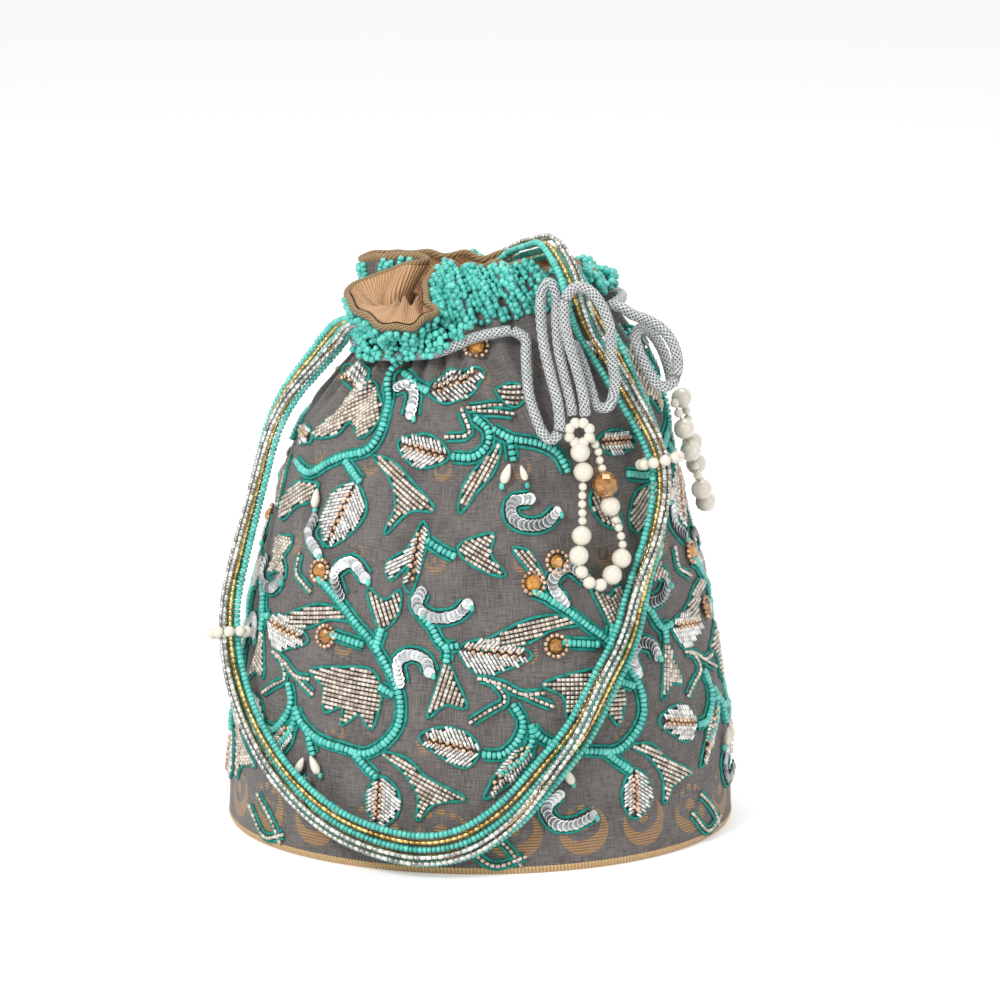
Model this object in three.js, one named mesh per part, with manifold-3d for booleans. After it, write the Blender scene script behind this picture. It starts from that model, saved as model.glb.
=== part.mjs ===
// Potli bag: a beaded drawstring pouch with a pleated ruff, a handle of limp beaded strands and pearl tassels.
// Millimetres, +Z up. The origin is the centre of the base where the bag stands; the front faces -Y.

import * as THREE from 'three';
import { mergeVertices } from 'three/addons/utils/BufferGeometryUtils.js';
import Module from 'manifold-3d';

const wasm = await Module();
wasm.setup();

// Body of the bag: height, half width, and half depth as a share of the half width.
const BODY_STATIONS = [
  [0, 96, 0.85], [6, 96.3, 0.85], [26, 95.2, 0.845], [55, 92.2, 0.84], [99, 83.5, 0.83], [130, 76, 0.79],
  [150, 70.5, 0.76], [163, 66, 0.72], [177, 58, 0.67], [188, 49, 0.62], [197.5, 44, 0.59],
];
const NECK_HEIGHT = 197.5;
const NECK_TILT = 0.15;
const TILT_STARTS = 140;
const NECK_LEAN = 3;
const LEAN_STARTS = 120;
const LEAN_ENDS = 190;

// Gathers of the neck and pleats of the ruff.
const PLEATS = 27;
const COLUMNS = 2 * PLEATS;
const GATHER_DEPTH = 2;
const GATHER_STARTS = 150;
const RUFF_BULGE = 3;

// Ruff rim, once round from the right side by the front: x, y, z, angle at the neck, pleat depth.
const RUFF_RIM = [
  [43, 2, 212, 90, 1], [38, -4, 213.5, 76, 2], [31, -8, 213.5, 62, 2.2], [23.5, -10.5, 215, 49, 2.2],
  [16, -11.5, 217.5, 36, 2.2], [8.5, -12, 218, 24, 2.2], [1, -12, 217.5, 12, 2.2], [-6, -11, 216.5, 1, 2],
  [-12, -9.5, 218, -9, 1.2], [-16, -9, 216, -16, 0.4], [-19, -14, 211.5, -21, 0.3], [-19, -23, 207, -27, 0.5],
  [-16, -31, 203.5, -32, 0.8], [-22, -37, 199.8, -38, 0.8], [-31, -38, 197.8, -45, 0.8], [-40, -31, 199, -54, 0.8],
  [-47, -18, 201, -64, 0.6], [-50.5, -3, 202.8, -75, 0.3], [-48, 5, 205, -84, 0.2], [-40, 7.5, 208, -90, 0.1],
  [-32, 7.5, 211, -95, 0.1], [-25, 6, 214, -99, 0], [-21, 8, 215.5, -102, 0], [-25, 11.5, 216, -106, 0],
  [-34, 14, 215, -111, 0.4], [-42, 16.5, 213.5, -117, 0.5], [-46, 21, 211.5, -124, 0.5], [-43, 27.5, 212, -133, 0.8],
  [-34, 29, 213, -144, 1.6], [-24, 27, 213.5, -157, 2.2], [-13, 24.5, 214, -171, 2.2], [-2, 22, 214, -185, 2.2],
  [9, 20, 214.5, -199, 2.2], [20, 17, 214.5, -214, 2.2], [30, 13.5, 214, -231, 2.2], [38, 8.5, 213, -250, 1.8],
];

// Walls and clearances.
const SHELL_WALL = 1.1;
const LINING_WALL = 0.8;
const LINING_GAP = 1;
const SEAT_GAP = 0.3;
const WAIST_PINCH = 10;

// Base: a stiff board in a shallow cover of gold cloth.
const COVER_HEIGHT = 2.4;
const COVER_PLATE = 1;
const COVER_EDGE = 1.2;
const COVER_ROUND = 1.4;
const COVER_ROUND_POINTS = 3;
const BOARD_THICKNESS = 2.4;

// Bead layer on the outside of the ruff, from the ruff's root to its rim.
const COLLAR_THICKNESS = 0.9;
const COLLAR_GAP = 0.35;

// Cords and strands.
const DRAWSTRING_DIAMETER = 4.2;
const TURQUOISE_DIAMETER = 2.7;
const BUGLE_DIAMETER = 1.8;
const CORD_SIDES = 6;

// Beadwork on the body.
const VINE_REPEATS = 6;
const VINE_STANDOFF = 1.3;
const LEAF_THICKNESS = 1.5;
const STEM_WIDTH = 2.9;
const STEM_THICKNESS = 2.3;

// Pearls.
const SMALL_PEARL = 3.4;
const MIDDLE_PEARL = 5.2;
const BIG_PEARL = 8;
const AMBER_STONE = 10;
const TIE_PEARL = 4.3;
const PEARL_THREAD = 1.2;

const radians = THREE.MathUtils.degToRad;
const smooth = (x, low, high) => THREE.MathUtils.smoothstep(x, low, high);

function material(colour, roughness, metalness = 0) {
  return new THREE.MeshStandardMaterial({ color: colour, roughness, metalness });
}

function node(name, geometry, finish) {
  const mesh = new THREE.Mesh(geometry, finish);
  mesh.name = name;
  return mesh;
}

// Smooth curve through rows of [place, value, ...], with each slope taken from the neighbouring rows.
function alongStations(rows, column, place) {
  const last = rows.length - 1;
  const at = THREE.MathUtils.clamp(place, rows[0][0], rows[last][0]);
  let i = 0;
  while (i < last - 1 && at > rows[i + 1][0]) {
    i += 1;
  }
  const slope = (k) => {
    const before = rows[Math.max(k - 1, 0)];
    const after = rows[Math.min(k + 1, last)];
    return (after[column] - before[column]) / (after[0] - before[0]);
  };
  const span = rows[i + 1][0] - rows[i][0];
  const s = (at - rows[i][0]) / span;
  const s2 = s * s;
  const s3 = s2 * s;
  return (2 * s3 - 3 * s2 + 1) * rows[i][column] + (s3 - 2 * s2 + s) * span * slope(i)
    + (3 * s2 - 2 * s3) * rows[i + 1][column] + (s3 - s2) * span * slope(i + 1);
}

// Closed curve through the ruff's rows: u runs once round, column picks the value.
function alongRim(column, u) {
  const count = RUFF_RIM.length;
  const rounds = Math.floor(u);
  const turn = u - rounds;
  const i = Math.floor(turn * count);
  const s = turn * count - i;
  const value = (k) => {
    const row = ((k % count) + count) % count;
    const turns = rounds + Math.floor(k / count);
    return RUFF_RIM[row][column] - (column === 3 ? 360 * turns : 0);
  };
  const [a, b, c, d] = [value(i - 1), value(i), value(i + 1), value(i + 2)];
  return 0.5 * (2 * b + (c - a) * s + (2 * a - 5 * b + 4 * c - d) * s * s + (3 * b - a - 3 * c + d) * s * s * s);
}

// Point beside the smooth body, without its gathers: angle from the front, height, and distance from the cloth.
function onBag(angle, height, standoff) {
  const halfWidth = alongStations(BODY_STATIONS, 1, height);
  const halfDepth = halfWidth * alongStations(BODY_STATIONS, 2, height);
  const x = NECK_LEAN * smooth(height, LEAN_STARTS, LEAN_ENDS) + (halfWidth + standoff) * Math.sin(radians(angle));
  const y = -(halfDepth + standoff) * Math.cos(radians(angle));
  const z = height + NECK_TILT * x * smooth(height, TILT_STARTS, NECK_HEIGHT);
  return new THREE.Vector3(x, y, z);
}

// Cloth of the bag: u runs once round; level runs from 0 at the table to 1 at the neck and 2 at the rim.
function smoothCloth(u, level) {
  const even = 90 - 360 * u;
  const atNeck = alongRim(3, u);
  if (level <= 1) {
    const height = level * NECK_HEIGHT;
    const share = smooth(height, GATHER_STARTS, NECK_HEIGHT);
    return onBag(even + (atNeck - even) * share, height, 0);
  }
  const up = level - 1;
  const root = onBag(atNeck, NECK_HEIGHT, 0);
  const rim = new THREE.Vector3(alongRim(0, u), alongRim(1, u), alongRim(2, u));
  return root.lerp(rim, up);
}

function outward(surface, u, level) {
  const du = 0.002;
  const dl = 0.01;
  const low = Math.max(level - dl, 0);
  const high = Math.min(level + dl, 2);
  const along = surface(u + du, level).sub(surface(u - du, level));
  const up = surface(u, high).sub(surface(u, low));
  return up.cross(along).normalize();
}

function pleatDepth(u, level) {
  if (level <= 1) {
    return GATHER_DEPTH * smooth(level * NECK_HEIGHT, GATHER_STARTS, NECK_HEIGHT);
  }
  return THREE.MathUtils.lerp(GATHER_DEPTH, alongRim(4, u), Math.min(1, 1.6 * (level - 1)));
}

// Cloth with its pleats, moved outwards by the given distance.
function cloth(u, level, distance = 0) {
  const normal = outward(smoothCloth, u, level);
  const bulge = level > 1 ? RUFF_BULGE * Math.sin(Math.PI * (level - 1)) * Math.min(1, alongRim(4, u)) : 0;
  const pleat = pleatDepth(u, level) * Math.cos(2 * Math.PI * PLEATS * u);
  return smoothCloth(u, level).addScaledVector(normal, bulge + pleat + distance);
}

function solidOf(geometry) {
  const bare = geometry.clone();
  bare.deleteAttribute('normal');
  bare.deleteAttribute('uv');
  const merged = mergeVertices(bare, 1e-4);
  return new wasm.Manifold(new wasm.Mesh({
    numProp: 3,
    vertProperties: new Float32Array(merged.attributes.position.array),
    triVerts: new Uint32Array(merged.index.array),
  }));
}

function geometryOf(solid) {
  const mesh = solid.getMesh();
  const geometry = new THREE.BufferGeometry();
  geometry.setAttribute('position', new THREE.Float32BufferAttribute(mesh.vertProperties, 3));
  geometry.setIndex([...mesh.triVerts]);
  return geometry;
}

// Closed wall between an outside and an inside skin, each a list of rings from the lowest to the highest. Both skins
// are split along the same diagonals. A round wall joins its last column to its first. A floored one is a cup: each
// skin closes to the middle of its lowest ring.
function wall(outside, inside, { round = true, floored = false } = {}) {
  const count = outside[0].length;
  const rows = outside.length;
  const points = [...outside.flat(), ...inside.flat()];
  const innerStart = rows * count;
  const index = [];
  const quad = (a, b, c, d) => index.push(a, b, c, b, d, c);
  const columns = round ? count : count - 1;
  for (let i = 0; i < columns; i += 1) {
    const j = (i + 1) % count;
    for (let r = 0; r < rows - 1; r += 1) {
      const low = r * count;
      const high = low + count;
      index.push(low + i, high + i, low + j, low + j, high + i, high + j);
      const [lowIn, highIn] = [innerStart + low, innerStart + high];
      index.push(lowIn + i, lowIn + j, highIn + i, lowIn + j, highIn + j, highIn + i);
    }
    const top = (rows - 1) * count;
    quad(top + i, innerStart + top + i, top + j, innerStart + top + j);
    if (!floored) {
      quad(i, j, innerStart + i, innerStart + j);
    }
  }
  if (floored) {
    const middle = (ring) => ring.reduce((sum, p) => sum.add(p), new THREE.Vector3()).divideScalar(count);
    const under = points.push(middle(outside[0])) - 1;
    const above = points.push(middle(inside[0])) - 1;
    for (let i = 0; i < count; i += 1) {
      const j = (i + 1) % count;
      index.push(under, i, j, above, innerStart + j, innerStart + i);
    }
  }
  if (!round) {
    for (let r = 0; r < rows - 1; r += 1) {
      const [low, high] = [r * count, (r + 1) * count];
      const end = count - 1;
      quad(low, innerStart + low, high, innerStart + high);
      quad(low + end, high + end, innerStart + low + end, innerStart + high + end);
    }
  }
  const geometry = new THREE.BufferGeometry();
  const positions = points.flatMap((p) => [p.x, p.y, p.z]);
  geometry.setAttribute('position', new THREE.Float32BufferAttribute(positions, 3));
  geometry.setIndex(index);
  return geometry;
}

function ringAt(level, distance) {
  return Array.from({ length: COLUMNS }, (_, i) => cloth(i / COLUMNS, level, distance));
}

const levelOf = (height) => height / NECK_HEIGHT;

// Outer cloth: an open-ended tube from the hem to the rim, with its wall on the inside.
const HEM_HEIGHT = COVER_HEIGHT + SEAT_GAP;
const OUTER_HEIGHTS = [HEM_HEIGHT, 30, 70, 110, 140, 160, 175, 187];
const RUFF_LEVELS = [1, 1.15, 1.4, 1.7, 2];
const OUTER_LEVELS = OUTER_HEIGHTS.map(levelOf).concat(RUFF_LEVELS);

function outerWall(levels) {
  const outside = levels.map((level) => ringAt(level, 0));
  const inside = levels.map((level) => ringAt(level, -SHELL_WALL));
  return wall(outside, inside);
}

// Lining: a cloth bag inside the outer cloth that closes in at the neck, where the drawstring pinches it.
function liningDistance(level) {
  const near = SHELL_WALL + LINING_GAP;
  const rise = level > 1 ? (2 - level) ** 2 : smooth(level * NECK_HEIGHT, GATHER_STARTS, NECK_HEIGHT);
  return near + WAIST_PINCH * rise;
}

function lining() {
  const floor = HEM_HEIGHT + BOARD_THICKNESS;
  const levels = [floor, 60, 135, 175].map(levelOf).concat([1, 1.4, 2]);
  const outside = levels.map((level) => ringAt(level, -liningDistance(level)));
  const inside = levels.map((level) => ringAt(level, -liningDistance(level) - LINING_WALL));
  inside[0].forEach((p) => {
    p.z += LINING_WALL;
  });
  return wall(outside, inside, { floored: true });
}

// Base pieces are turned on a lathe and pressed to the bag's oval.
const BASE_HALF_WIDTH = BODY_STATIONS[0][1];
const BASE_SHARE = BODY_STATIONS[0][2];

function turned(profile) {
  const points = profile.map(([radius, z]) => new THREE.Vector2(radius, z));
  const geometry = new THREE.LatheGeometry(points, COLUMNS);
  geometry.rotateX(Math.PI / 2);
  geometry.scale(1, BASE_SHARE, 1);
  return geometry;
}

function baseCover() {
  const corner = Array.from({ length: COVER_ROUND_POINTS }, (_, i) => {
    const a = (Math.PI / 2) * (i / (COVER_ROUND_POINTS - 1));
    return [
      BASE_HALF_WIDTH - COVER_ROUND + COVER_ROUND * Math.sin(a),
      COVER_ROUND - COVER_ROUND * Math.cos(a),
    ];
  });
  const inner = BASE_HALF_WIDTH - COVER_EDGE;
  return turned([[0, 0], ...corner, [BASE_HALF_WIDTH, COVER_HEIGHT], [inner, COVER_HEIGHT], [inner, COVER_PLATE],
    [0, COVER_PLATE]]);
}

function baseBoard() {
  const radius = BASE_HALF_WIDTH - COVER_EDGE - SEAT_GAP;
  const low = COVER_PLATE + SEAT_GAP;
  const high = low + BOARD_THICKNESS;
  return turned([[0, low], [radius, low], [radius, high], [0, high]]);
}

// Bead layer: open strips on the outside of the ruff, one on the lobe at the left and one on the rest. The fold
// between them and the tuck behind the lobe are bare. Each strip is given by its first and last column.
const COLLAR_STRIPS = { front: [-17, 13], lobe: [19, 25] };

function collarBeading([firstColumn, lastColumn]) {
  const levels = RUFF_LEVELS.slice(1);
  const strip = (level, distance) => Array.from(
    { length: lastColumn - firstColumn + 1 },
    (_, i) => cloth((COLUMNS + firstColumn + i) / COLUMNS, level, distance),
  );
  const outside = levels.map((level) => strip(level, COLLAR_GAP + COLLAR_THICKNESS));
  const inside = levels.map((level) => strip(level, COLLAR_GAP));
  return wall(outside, inside, { round: false });
}

// Round cord along a smooth path.
function tube(path, diameter, steps, sides = CORD_SIDES) {
  const section = new THREE.Shape();
  for (let i = 0; i < sides; i += 1) {
    const a = (2 * Math.PI * i) / sides;
    const [x, y] = [0.5 * diameter * Math.cos(a), 0.5 * diameter * Math.sin(a)];
    if (i === 0) {
      section.moveTo(x, y);
    } else {
      section.lineTo(x, y);
    }
  }
  return new THREE.ExtrudeGeometry(section, { steps, extrudePath: path, curveSegments: 1 });
}

const curveThrough = (points) => new THREE.CatmullRomCurve3(points, false, 'centripetal');
const at = (x, y, z) => new THREE.Vector3(x, y, z);
const on = onBag;

// Middle line of the handle: it leaves the left of the neck under the ruff, hangs in front of the bag, climbs to the
// right of the neck and goes over the rim into the mouth.
const HANDLE_ROUTE = [
  on(-88, 195.5, 13), on(-87, 190, 15), on(-85, 182, 15.5), on(-83, 170, 14.5), on(-81, 155, 12), on(-78, 131, 10.5),
  on(-76, 108, 11), on(-74, 90, 11.5), on(-70, 72, 9.5), on(-62, 55, 7.5), on(-53, 40, 6), on(-43, 28, 6),
  on(-32, 18, 6), on(-21, 12.5, 6), on(-11, 11, 6), on(-2, 15, 6), on(7, 26, 6), on(14, 39, 6), on(22, 54, 6),
  on(29, 71, 6), on(36, 86, 6), on(42, 104, 6), on(49, 123, 8.5), on(52.5, 142, 11), on(52, 154, 10.5),
  on(49, 167, 8.5), on(46, 180, 8.5), on(43, 191, 10.5), at(39, -34, 204), at(35.5, -28.5, 213.5), at(30, -18, 221.5),
  at(23, -6, 225), at(15, 3, 222.5), at(8, 7, 215), at(4, 8, 206),
];
// Each strand's place beside that line: share of the length, inwards of the loop, away from the bag.
const STRANDS = [
  ['turquoise', 'outer', [[0, -5, 0], [0.212, -3.3, 0], [0.4, -5.2, 0], [0.6, -5.2, 0], [0.7, -4, 0],
    [0.756, -3.3, 0], [0.84, -6.4, 0], [0.93, -6.4, 0], [1, -3.3, 0]]],
  ['gold', 'outer', [[0, -2.4, 0], [0.212, -1.7, 2.2], [0.4, -2.6, 0], [0.6, -2.6, 0], [0.7, -1.9, 1.6],
    [0.756, -1.7, 2.2], [0.84, -3.2, 1], [0.93, -3.2, 1], [1, -1.7, 2.2]]],
  ['turquoise', 'middle', [[0, 0.2, 0], [0.212, 0, 0], [0.4, 0, 0], [0.6, 0, 0], [0.7, 0, 0],
    [0.756, 0, 0], [0.84, 0, 0], [0.93, 0, 0], [1, 0, 0]]],
  ['gold', 'inner', [[0, 2.8, 0], [0.212, 1.7, 2.2], [0.4, 2.7, 0], [0.6, 2.7, 0], [0.7, 1.9, 1.6],
    [0.756, 1.7, 2.2], [0.84, 3.2, 1], [0.93, 3.2, 1], [1, 1.7, 2.2]]],
  ['turquoise', 'inner', [[0, 5.4, 0], [0.212, 3.3, 0], [0.4, 5.4, 0], [0.6, 5.4, 0], [0.7, 4, 0],
    [0.756, 3.3, 0], [0.84, 6.4, 0], [0.93, 6.4, 0], [1, 3.3, 0]]],
  ['silver', 'outer', [[0, 3.5, 3.1], [0.212, -1.2, 4.5], [0.38, -4, 3.2], [0.48, -4, 3.2], [0.62, 1.6, 3.2],
    [0.756, -1.2, 4.5], [0.84, 0.3, 4.2], [0.93, 0.3, 4.2], [1, -1.2, 4.5]]],
  ['silver', 'inner', [[0, 6, 3.1], [0.212, 1.2, 4.5], [0.38, -1.6, 3.2], [0.48, -1.6, 3.2], [0.62, 4, 3.2],
    [0.756, 1.2, 4.5], [0.84, 3.4, 4.2], [0.93, 3.4, 4.2], [1, 1.2, 4.5]]],
];
const HANDLE_STEPS = 56;
const TIE_SHARES = { left: 0.212, right: 0.756 };
const TIE_PEARLS = 10;
const TIE_LIFT = 1.6;
const TIE_SLACK = 0.8;

// The strands lie in layers that face away from a line behind the bag's middle, and above the neck they face upwards.
const LAYER_BACK = 45;
const LAYER_TOP = 195;
const LAYER_TURN = 15;
const handlePath = curveThrough(HANDLE_ROUTE);

function handleFrame(share) {
  const middle = handlePath.getPointAt(share);
  const forwards = handlePath.getTangentAt(share);
  const back = LAYER_BACK * (1 - smooth(middle.z, LAYER_TOP, LAYER_TOP + LAYER_TURN));
  const away = middle.clone().sub(at(0, back, Math.min(middle.z, LAYER_TOP)));
  away.addScaledVector(forwards, -away.dot(forwards)).normalize();
  const inwards = away.clone().cross(forwards);
  return { middle, away, inwards };
}

function strandPath(places) {
  return curveThrough(Array.from({ length: HANDLE_STEPS + 1 }, (_, i) => {
    const share = i / HANDLE_STEPS;
    const { middle, away, inwards } = handleFrame(share);
    return middle.addScaledVector(inwards, alongStations(places, 1, share))
      .addScaledVector(away, alongStations(places, 2, share));
  }));
}

// Drawstring: round the neck in its groove, then free ends at the front right. The middle stretch is a loop that
// leaves the front tassel's ring and tucks in at the neck.
const RING_DROP = 2.5;
const RING_DIP = 5.5;
const END_GAP = 1.8;
const RING_REACH = GATHER_DEPTH + SEAT_GAP + DRAWSTRING_DIAMETER / 2 + 0.9;
const RING_FIRST = 10;
const RING_LAST = -292;
const RING_POINTS = 26;
const DRAWSTRING_FRONT_ROUTE = [
  at(17, -34.5, 194), at(17.3, -38, 189), at(17.6, -41.5, 183), at(18.3, -45.5, 176), at(20.5, -50, 169),
  at(23.5, -53.5, 162.5), at(26.5, -54.5, 160.3), at(29.4, -54, 163.5), at(29, -51.2, 173), at(26.6, -46.5, 182),
  at(24, -41.5, 192.6), at(22.8, -36.5, 203.5), at(23.2, -33, 211), at(25.8, -31.5, 215), at(28.4, -33.5, 211),
  at(28.6, -38, 201.5), at(29.4, -42, 192), at(31.6, -46, 182), at(33.8, -49.8, 173.5), at(34.6, -51, 168.6),
];
const DRAWSTRING_LOOP_ROUTE = [
  at(39.2, -51.5, 168.6), at(38.6, -50.5, 175), at(36.4, -46.8, 184), at(33.2, -45.2, 195), at(31.4, -44, 204.6),
  at(32.2, -42.6, 211.5), at(36, -42, 215.5), at(41, -42.5, 214), at(45.5, -43.5, 208), at(48.4, -44.5, 200),
  at(49, -44, 189.5), at(50.2, -47, 179), at(47.8, -49.5, 171.8), at(43.8, -48, 171.5), at(41, -43.5, 178),
  at(38, -38.8, 186.5), at(35, -34, 192.5),
];
const DRAWSTRING_BACK_ROUTE = [
  at(49.4, -17.5, 203.2), at(53, -20.5, 203), at(57.5, -22, 200.5), at(61.5, -23, 199.3), at(68, -26, 196.2),
  at(72.4, -28.5, 190.5), at(74, -30.5, 183.2), at(72, -32, 176.8), at(67.5, -33, 175.6), at(63, -32, 180.9),
  at(59.5, -30, 188.2), at(58.2, -25, 193), at(60.6, -19.5, 195), at(64.5, -16, 192), at(68.3, -14.5, 186),
  at(71, -15, 178.5), at(72.5, -17, 171.5),
];

const neckPath = curveThrough(Array.from({ length: RING_POINTS }, (_, i) => {
  const angle = THREE.MathUtils.lerp(RING_FIRST, RING_LAST, i / (RING_POINTS - 1));
  const dip = RING_DIP * smooth(angle, -85, -58) * (1 - smooth(angle, -25, 0));
  return on(angle, NECK_HEIGHT - RING_DROP - dip, RING_REACH);
}));

// Point that lies a little past one end of a path.
function past(path, share) {
  const forwards = share === 0 ? -END_GAP : END_GAP;
  return path.getPointAt(share).addScaledVector(path.getTangentAt(share), forwards);
}

// Joins closed solids into one.
function joined(geometries) {
  return geometryOf(geometries.map(solidOf).reduce((sum, solid) => sum.add(solid)));
}

function pearl(place, diameter) {
  const [around, rows] = diameter < BIG_PEARL ? [5, 3] : [7, 4];
  const geometry = new THREE.SphereGeometry(diameter / 2, around, rows);
  geometry.translate(place.x, place.y, place.z);
  return geometry;
}

// Pearls threaded one after another along a path that they fill.
function pearlString(path, diameters) {
  const total = diameters.reduce((sum, d) => sum + d, 0);
  let before = 0;
  const pearls = diameters.map((diameter) => {
    const share = (before + diameter / 2) / total;
    before += diameter;
    return pearl(path.getPointAt(share), diameter);
  });
  return [...pearls, tube(path, PEARL_THREAD, Math.round(1.5 * diameters.length), 4)];
}

const repeated = (value, times) => Array.from({ length: times }, () => value);

// Ring of small pearls round the strands of the handle.
function strandTie(share) {
  const { middle, away, inwards } = handleFrame(share);
  middle.addScaledVector(away, TIE_LIFT);
  const reachAcross = 3.3 + TURQUOISE_DIAMETER / 2 + TIE_SLACK + TIE_PEARL / 2;
  const reachAway = 4.5 + BUGLE_DIAMETER / 2 - TIE_LIFT + TIE_SLACK + TIE_PEARL / 2;
  const places = Array.from({ length: TIE_PEARLS }, (_, i) => {
    const turn = (2 * Math.PI * i) / TIE_PEARLS;
    return middle.clone().addScaledVector(inwards, reachAcross * Math.cos(turn))
      .addScaledVector(away, reachAway * Math.sin(turn));
  });
  const thread = tube(curveThrough([...places, places[0]]), PEARL_THREAD, 2 * TIE_PEARLS, 4);
  return joined([...places.map((place) => pearl(place, TIE_PEARL)), thread]);
}

// Front tassel: a ring of small pearls on the drawstring, and a long loop of mixed pearls with an amber stone.
const FRONT_RING_MIDDLE = at(37, -53, 162.6);
const FRONT_RING_REACH = 4;
const FRONT_RING_PEARLS = 8;
const FRONT_RING_PEARL = 4.2;
const FRONT_LOOP_ROUTE = [
  at(36.5, -53, 158.9), on(28.5, 149, 7.5), on(27.5, 138, 7.5), on(27, 129, 7.5), on(26, 122, 7.5), on(25, 116, 7.5),
  on(26.5, 110, 7.5), on(29, 107, 7.5), on(32.5, 109, 7.5), on(36, 113, 7.5), on(38, 118, 7.5), on(38, 125, 7.5),
  on(36.5, 132, 7.5), on(34.5, 140, 8.5), on(35, 146, 7.5), on(34, 150, 7.5), on(33, 155, 8.5), at(40.7, -53, 161.2),
];
const FRONT_LOOP_PEARLS = [
  BIG_PEARL, BIG_PEARL, ...repeated(SMALL_PEARL, 5), BIG_PEARL, BIG_PEARL, ...repeated(MIDDLE_PEARL, 3),
  BIG_PEARL, BIG_PEARL, ...repeated(SMALL_PEARL, 4), BIG_PEARL, AMBER_STONE, ...repeated(SMALL_PEARL, 5),
];
const REAR_LOOP_ROUTE = [
  on(74, 163, 7.5), on(77, 154, 8), on(80, 145, 8), on(83, 136, 8), on(86, 128, 8), on(90, 123, 8),
  on(95, 125, 8), on(97, 132, 8), on(95, 141, 8), on(92, 150, 8), on(88, 158, 8), on(82, 164, 8),
];
const REAR_LOOP_PEARLS = [
  ...repeated(SMALL_PEARL, 2), BIG_PEARL, BIG_PEARL, ...repeated(SMALL_PEARL, 2), BIG_PEARL, BIG_PEARL,
  ...repeated(SMALL_PEARL, 2), BIG_PEARL, BIG_PEARL, ...repeated(SMALL_PEARL, 3), BIG_PEARL,
];

function frontTassel() {
  const ring = Array.from({ length: FRONT_RING_PEARLS }, (_, i) => {
    const turn = (2 * Math.PI * (i + 0.5)) / FRONT_RING_PEARLS;
    const place = FRONT_RING_MIDDLE.clone();
    place.x += FRONT_RING_REACH * Math.sin(turn);
    place.z -= FRONT_RING_REACH * Math.cos(turn);
    return pearl(place, FRONT_RING_PEARL);
  });
  return joined([...ring, ...pearlString(curveThrough(FRONT_LOOP_ROUTE), FRONT_LOOP_PEARLS)]);
}

// Beadwork: one repeat of the scrolling vine in each row, as [angle, height] on the bag.
const LOWER_VINE = {
  stems: [
    [[-43, 103], [-36, 96], [-27, 85], [-19, 69], [-18.5, 56], [-23, 47], [-32, 44.5], [-41, 48], [-48, 56]],
    [[-44, 52], [-49, 45], [-55, 41], [-60, 43]],
    [[-74, 97], [-69, 87], [-65, 82], [-60, 80]],
    [[-27, 45], [-23, 36]],
  ],
  leaves: [
    [[-18.6, 68], [-27, 76], [-35, 75], [-45, 71], [-39, 60], [-34, 55], [-26, 55]],
    [[-23, 37], [-27, 28], [-23, 16], [-18, 24], [-19, 34]],
    [[-24, 46], [-16, 44], [-3, 29], [-10, 27], [-14, 20]],
    [[-34, 93], [-48, 96], [-61, 85], [-47, 86]],
    [[-66, 85], [-61, 88], [-53, 86], [-47, 81], [-55, 76], [-62, 75]],
    [[-54, 42], [-62, 41], [-74, 52], [-66, 56], [-58, 50]],
    [[-66, 82], [-72, 59], [-67, 65], [-62, 63]],
    [[-57, 77], [-54, 75], [-47, 56], [-51, 56]],
  ],
};
const UPPER_VINE = {
  stems: [
    [[-39, 183], [-36, 171], [-35, 162], [-39, 153], [-47, 150], [-61, 142], [-69, 143]],
    [[-46, 150], [-39, 142]],
    [[-55, 159], [-46, 157], [-36, 153], [-33, 147]],
  ],
  leaves: [
    [[-35.6, 172], [-50, 178], [-60, 172], [-66, 157], [-51, 163], [-43, 158]],
    [[-38, 143], [-47, 137], [-46, 117], [-38, 123], [-34, 133]],
    [[-37, 154], [-29, 152], [-13, 134], [-20, 133], [-27, 124]],
    [[-39, 178], [-22, 178], [-18, 182], [-8, 181], [-12, 173], [-22, 174]],
    [[-56, 160], [-56, 148], [-66, 134], [-63, 150]],
  ],
};
const VINE_ROWS = [LOWER_VINE, UPPER_VINE];
const FLAT_SCALE = 1.6;

// Outline of a ribbon that follows a line of points in the flat.
function ribbon(line, width) {
  const sides = line.map(([x, y], i) => {
    const [ax, ay] = line[Math.max(i - 1, 0)];
    const [bx, by] = line[Math.min(i + 1, line.length - 1)];
    const length = Math.hypot(bx - ax, by - ay);
    const [nx, ny] = [(-(by - ay) * width) / (2 * length), ((bx - ax) * width) / (2 * length)];
    return [[x + nx, y + ny], [x - nx, y - ny]];
  });
  return [...sides.map((pair) => pair[0]), ...sides.map((pair) => pair[1]).reverse()];
}

function slab(outline, thickness) {
  const shape = new THREE.Shape(outline.map(([x, y]) => new THREE.Vector2(x, y)));
  return new THREE.ExtrudeGeometry(shape, { depth: thickness, bevelEnabled: false });
}

// One repeat of the vine, cut out in the flat and then wrapped on the bag.
function vine(row, turn) {
  const flat = ([angle, height]) => [angle * FLAT_SCALE, height];
  const geometry = joined([
    ...row.stems.map((line) => slab(ribbon(line.map(flat), STEM_WIDTH), STEM_THICKNESS)),
    ...row.leaves.map((outline) => slab(outline.map(flat), LEAF_THICKNESS)),
  ]);
  const place = geometry.attributes.position;
  for (let i = 0; i < place.count; i += 1) {
    const height = place.getY(i);
    const standoff = VINE_STANDOFF + GATHER_DEPTH * smooth(height, GATHER_STARTS, NECK_HEIGHT);
    const point = on(place.getX(i) / FLAT_SCALE + turn, height, standoff + place.getZ(i));
    place.setXYZ(i, point.x, point.y, point.z);
  }
  return geometry;
}

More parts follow.
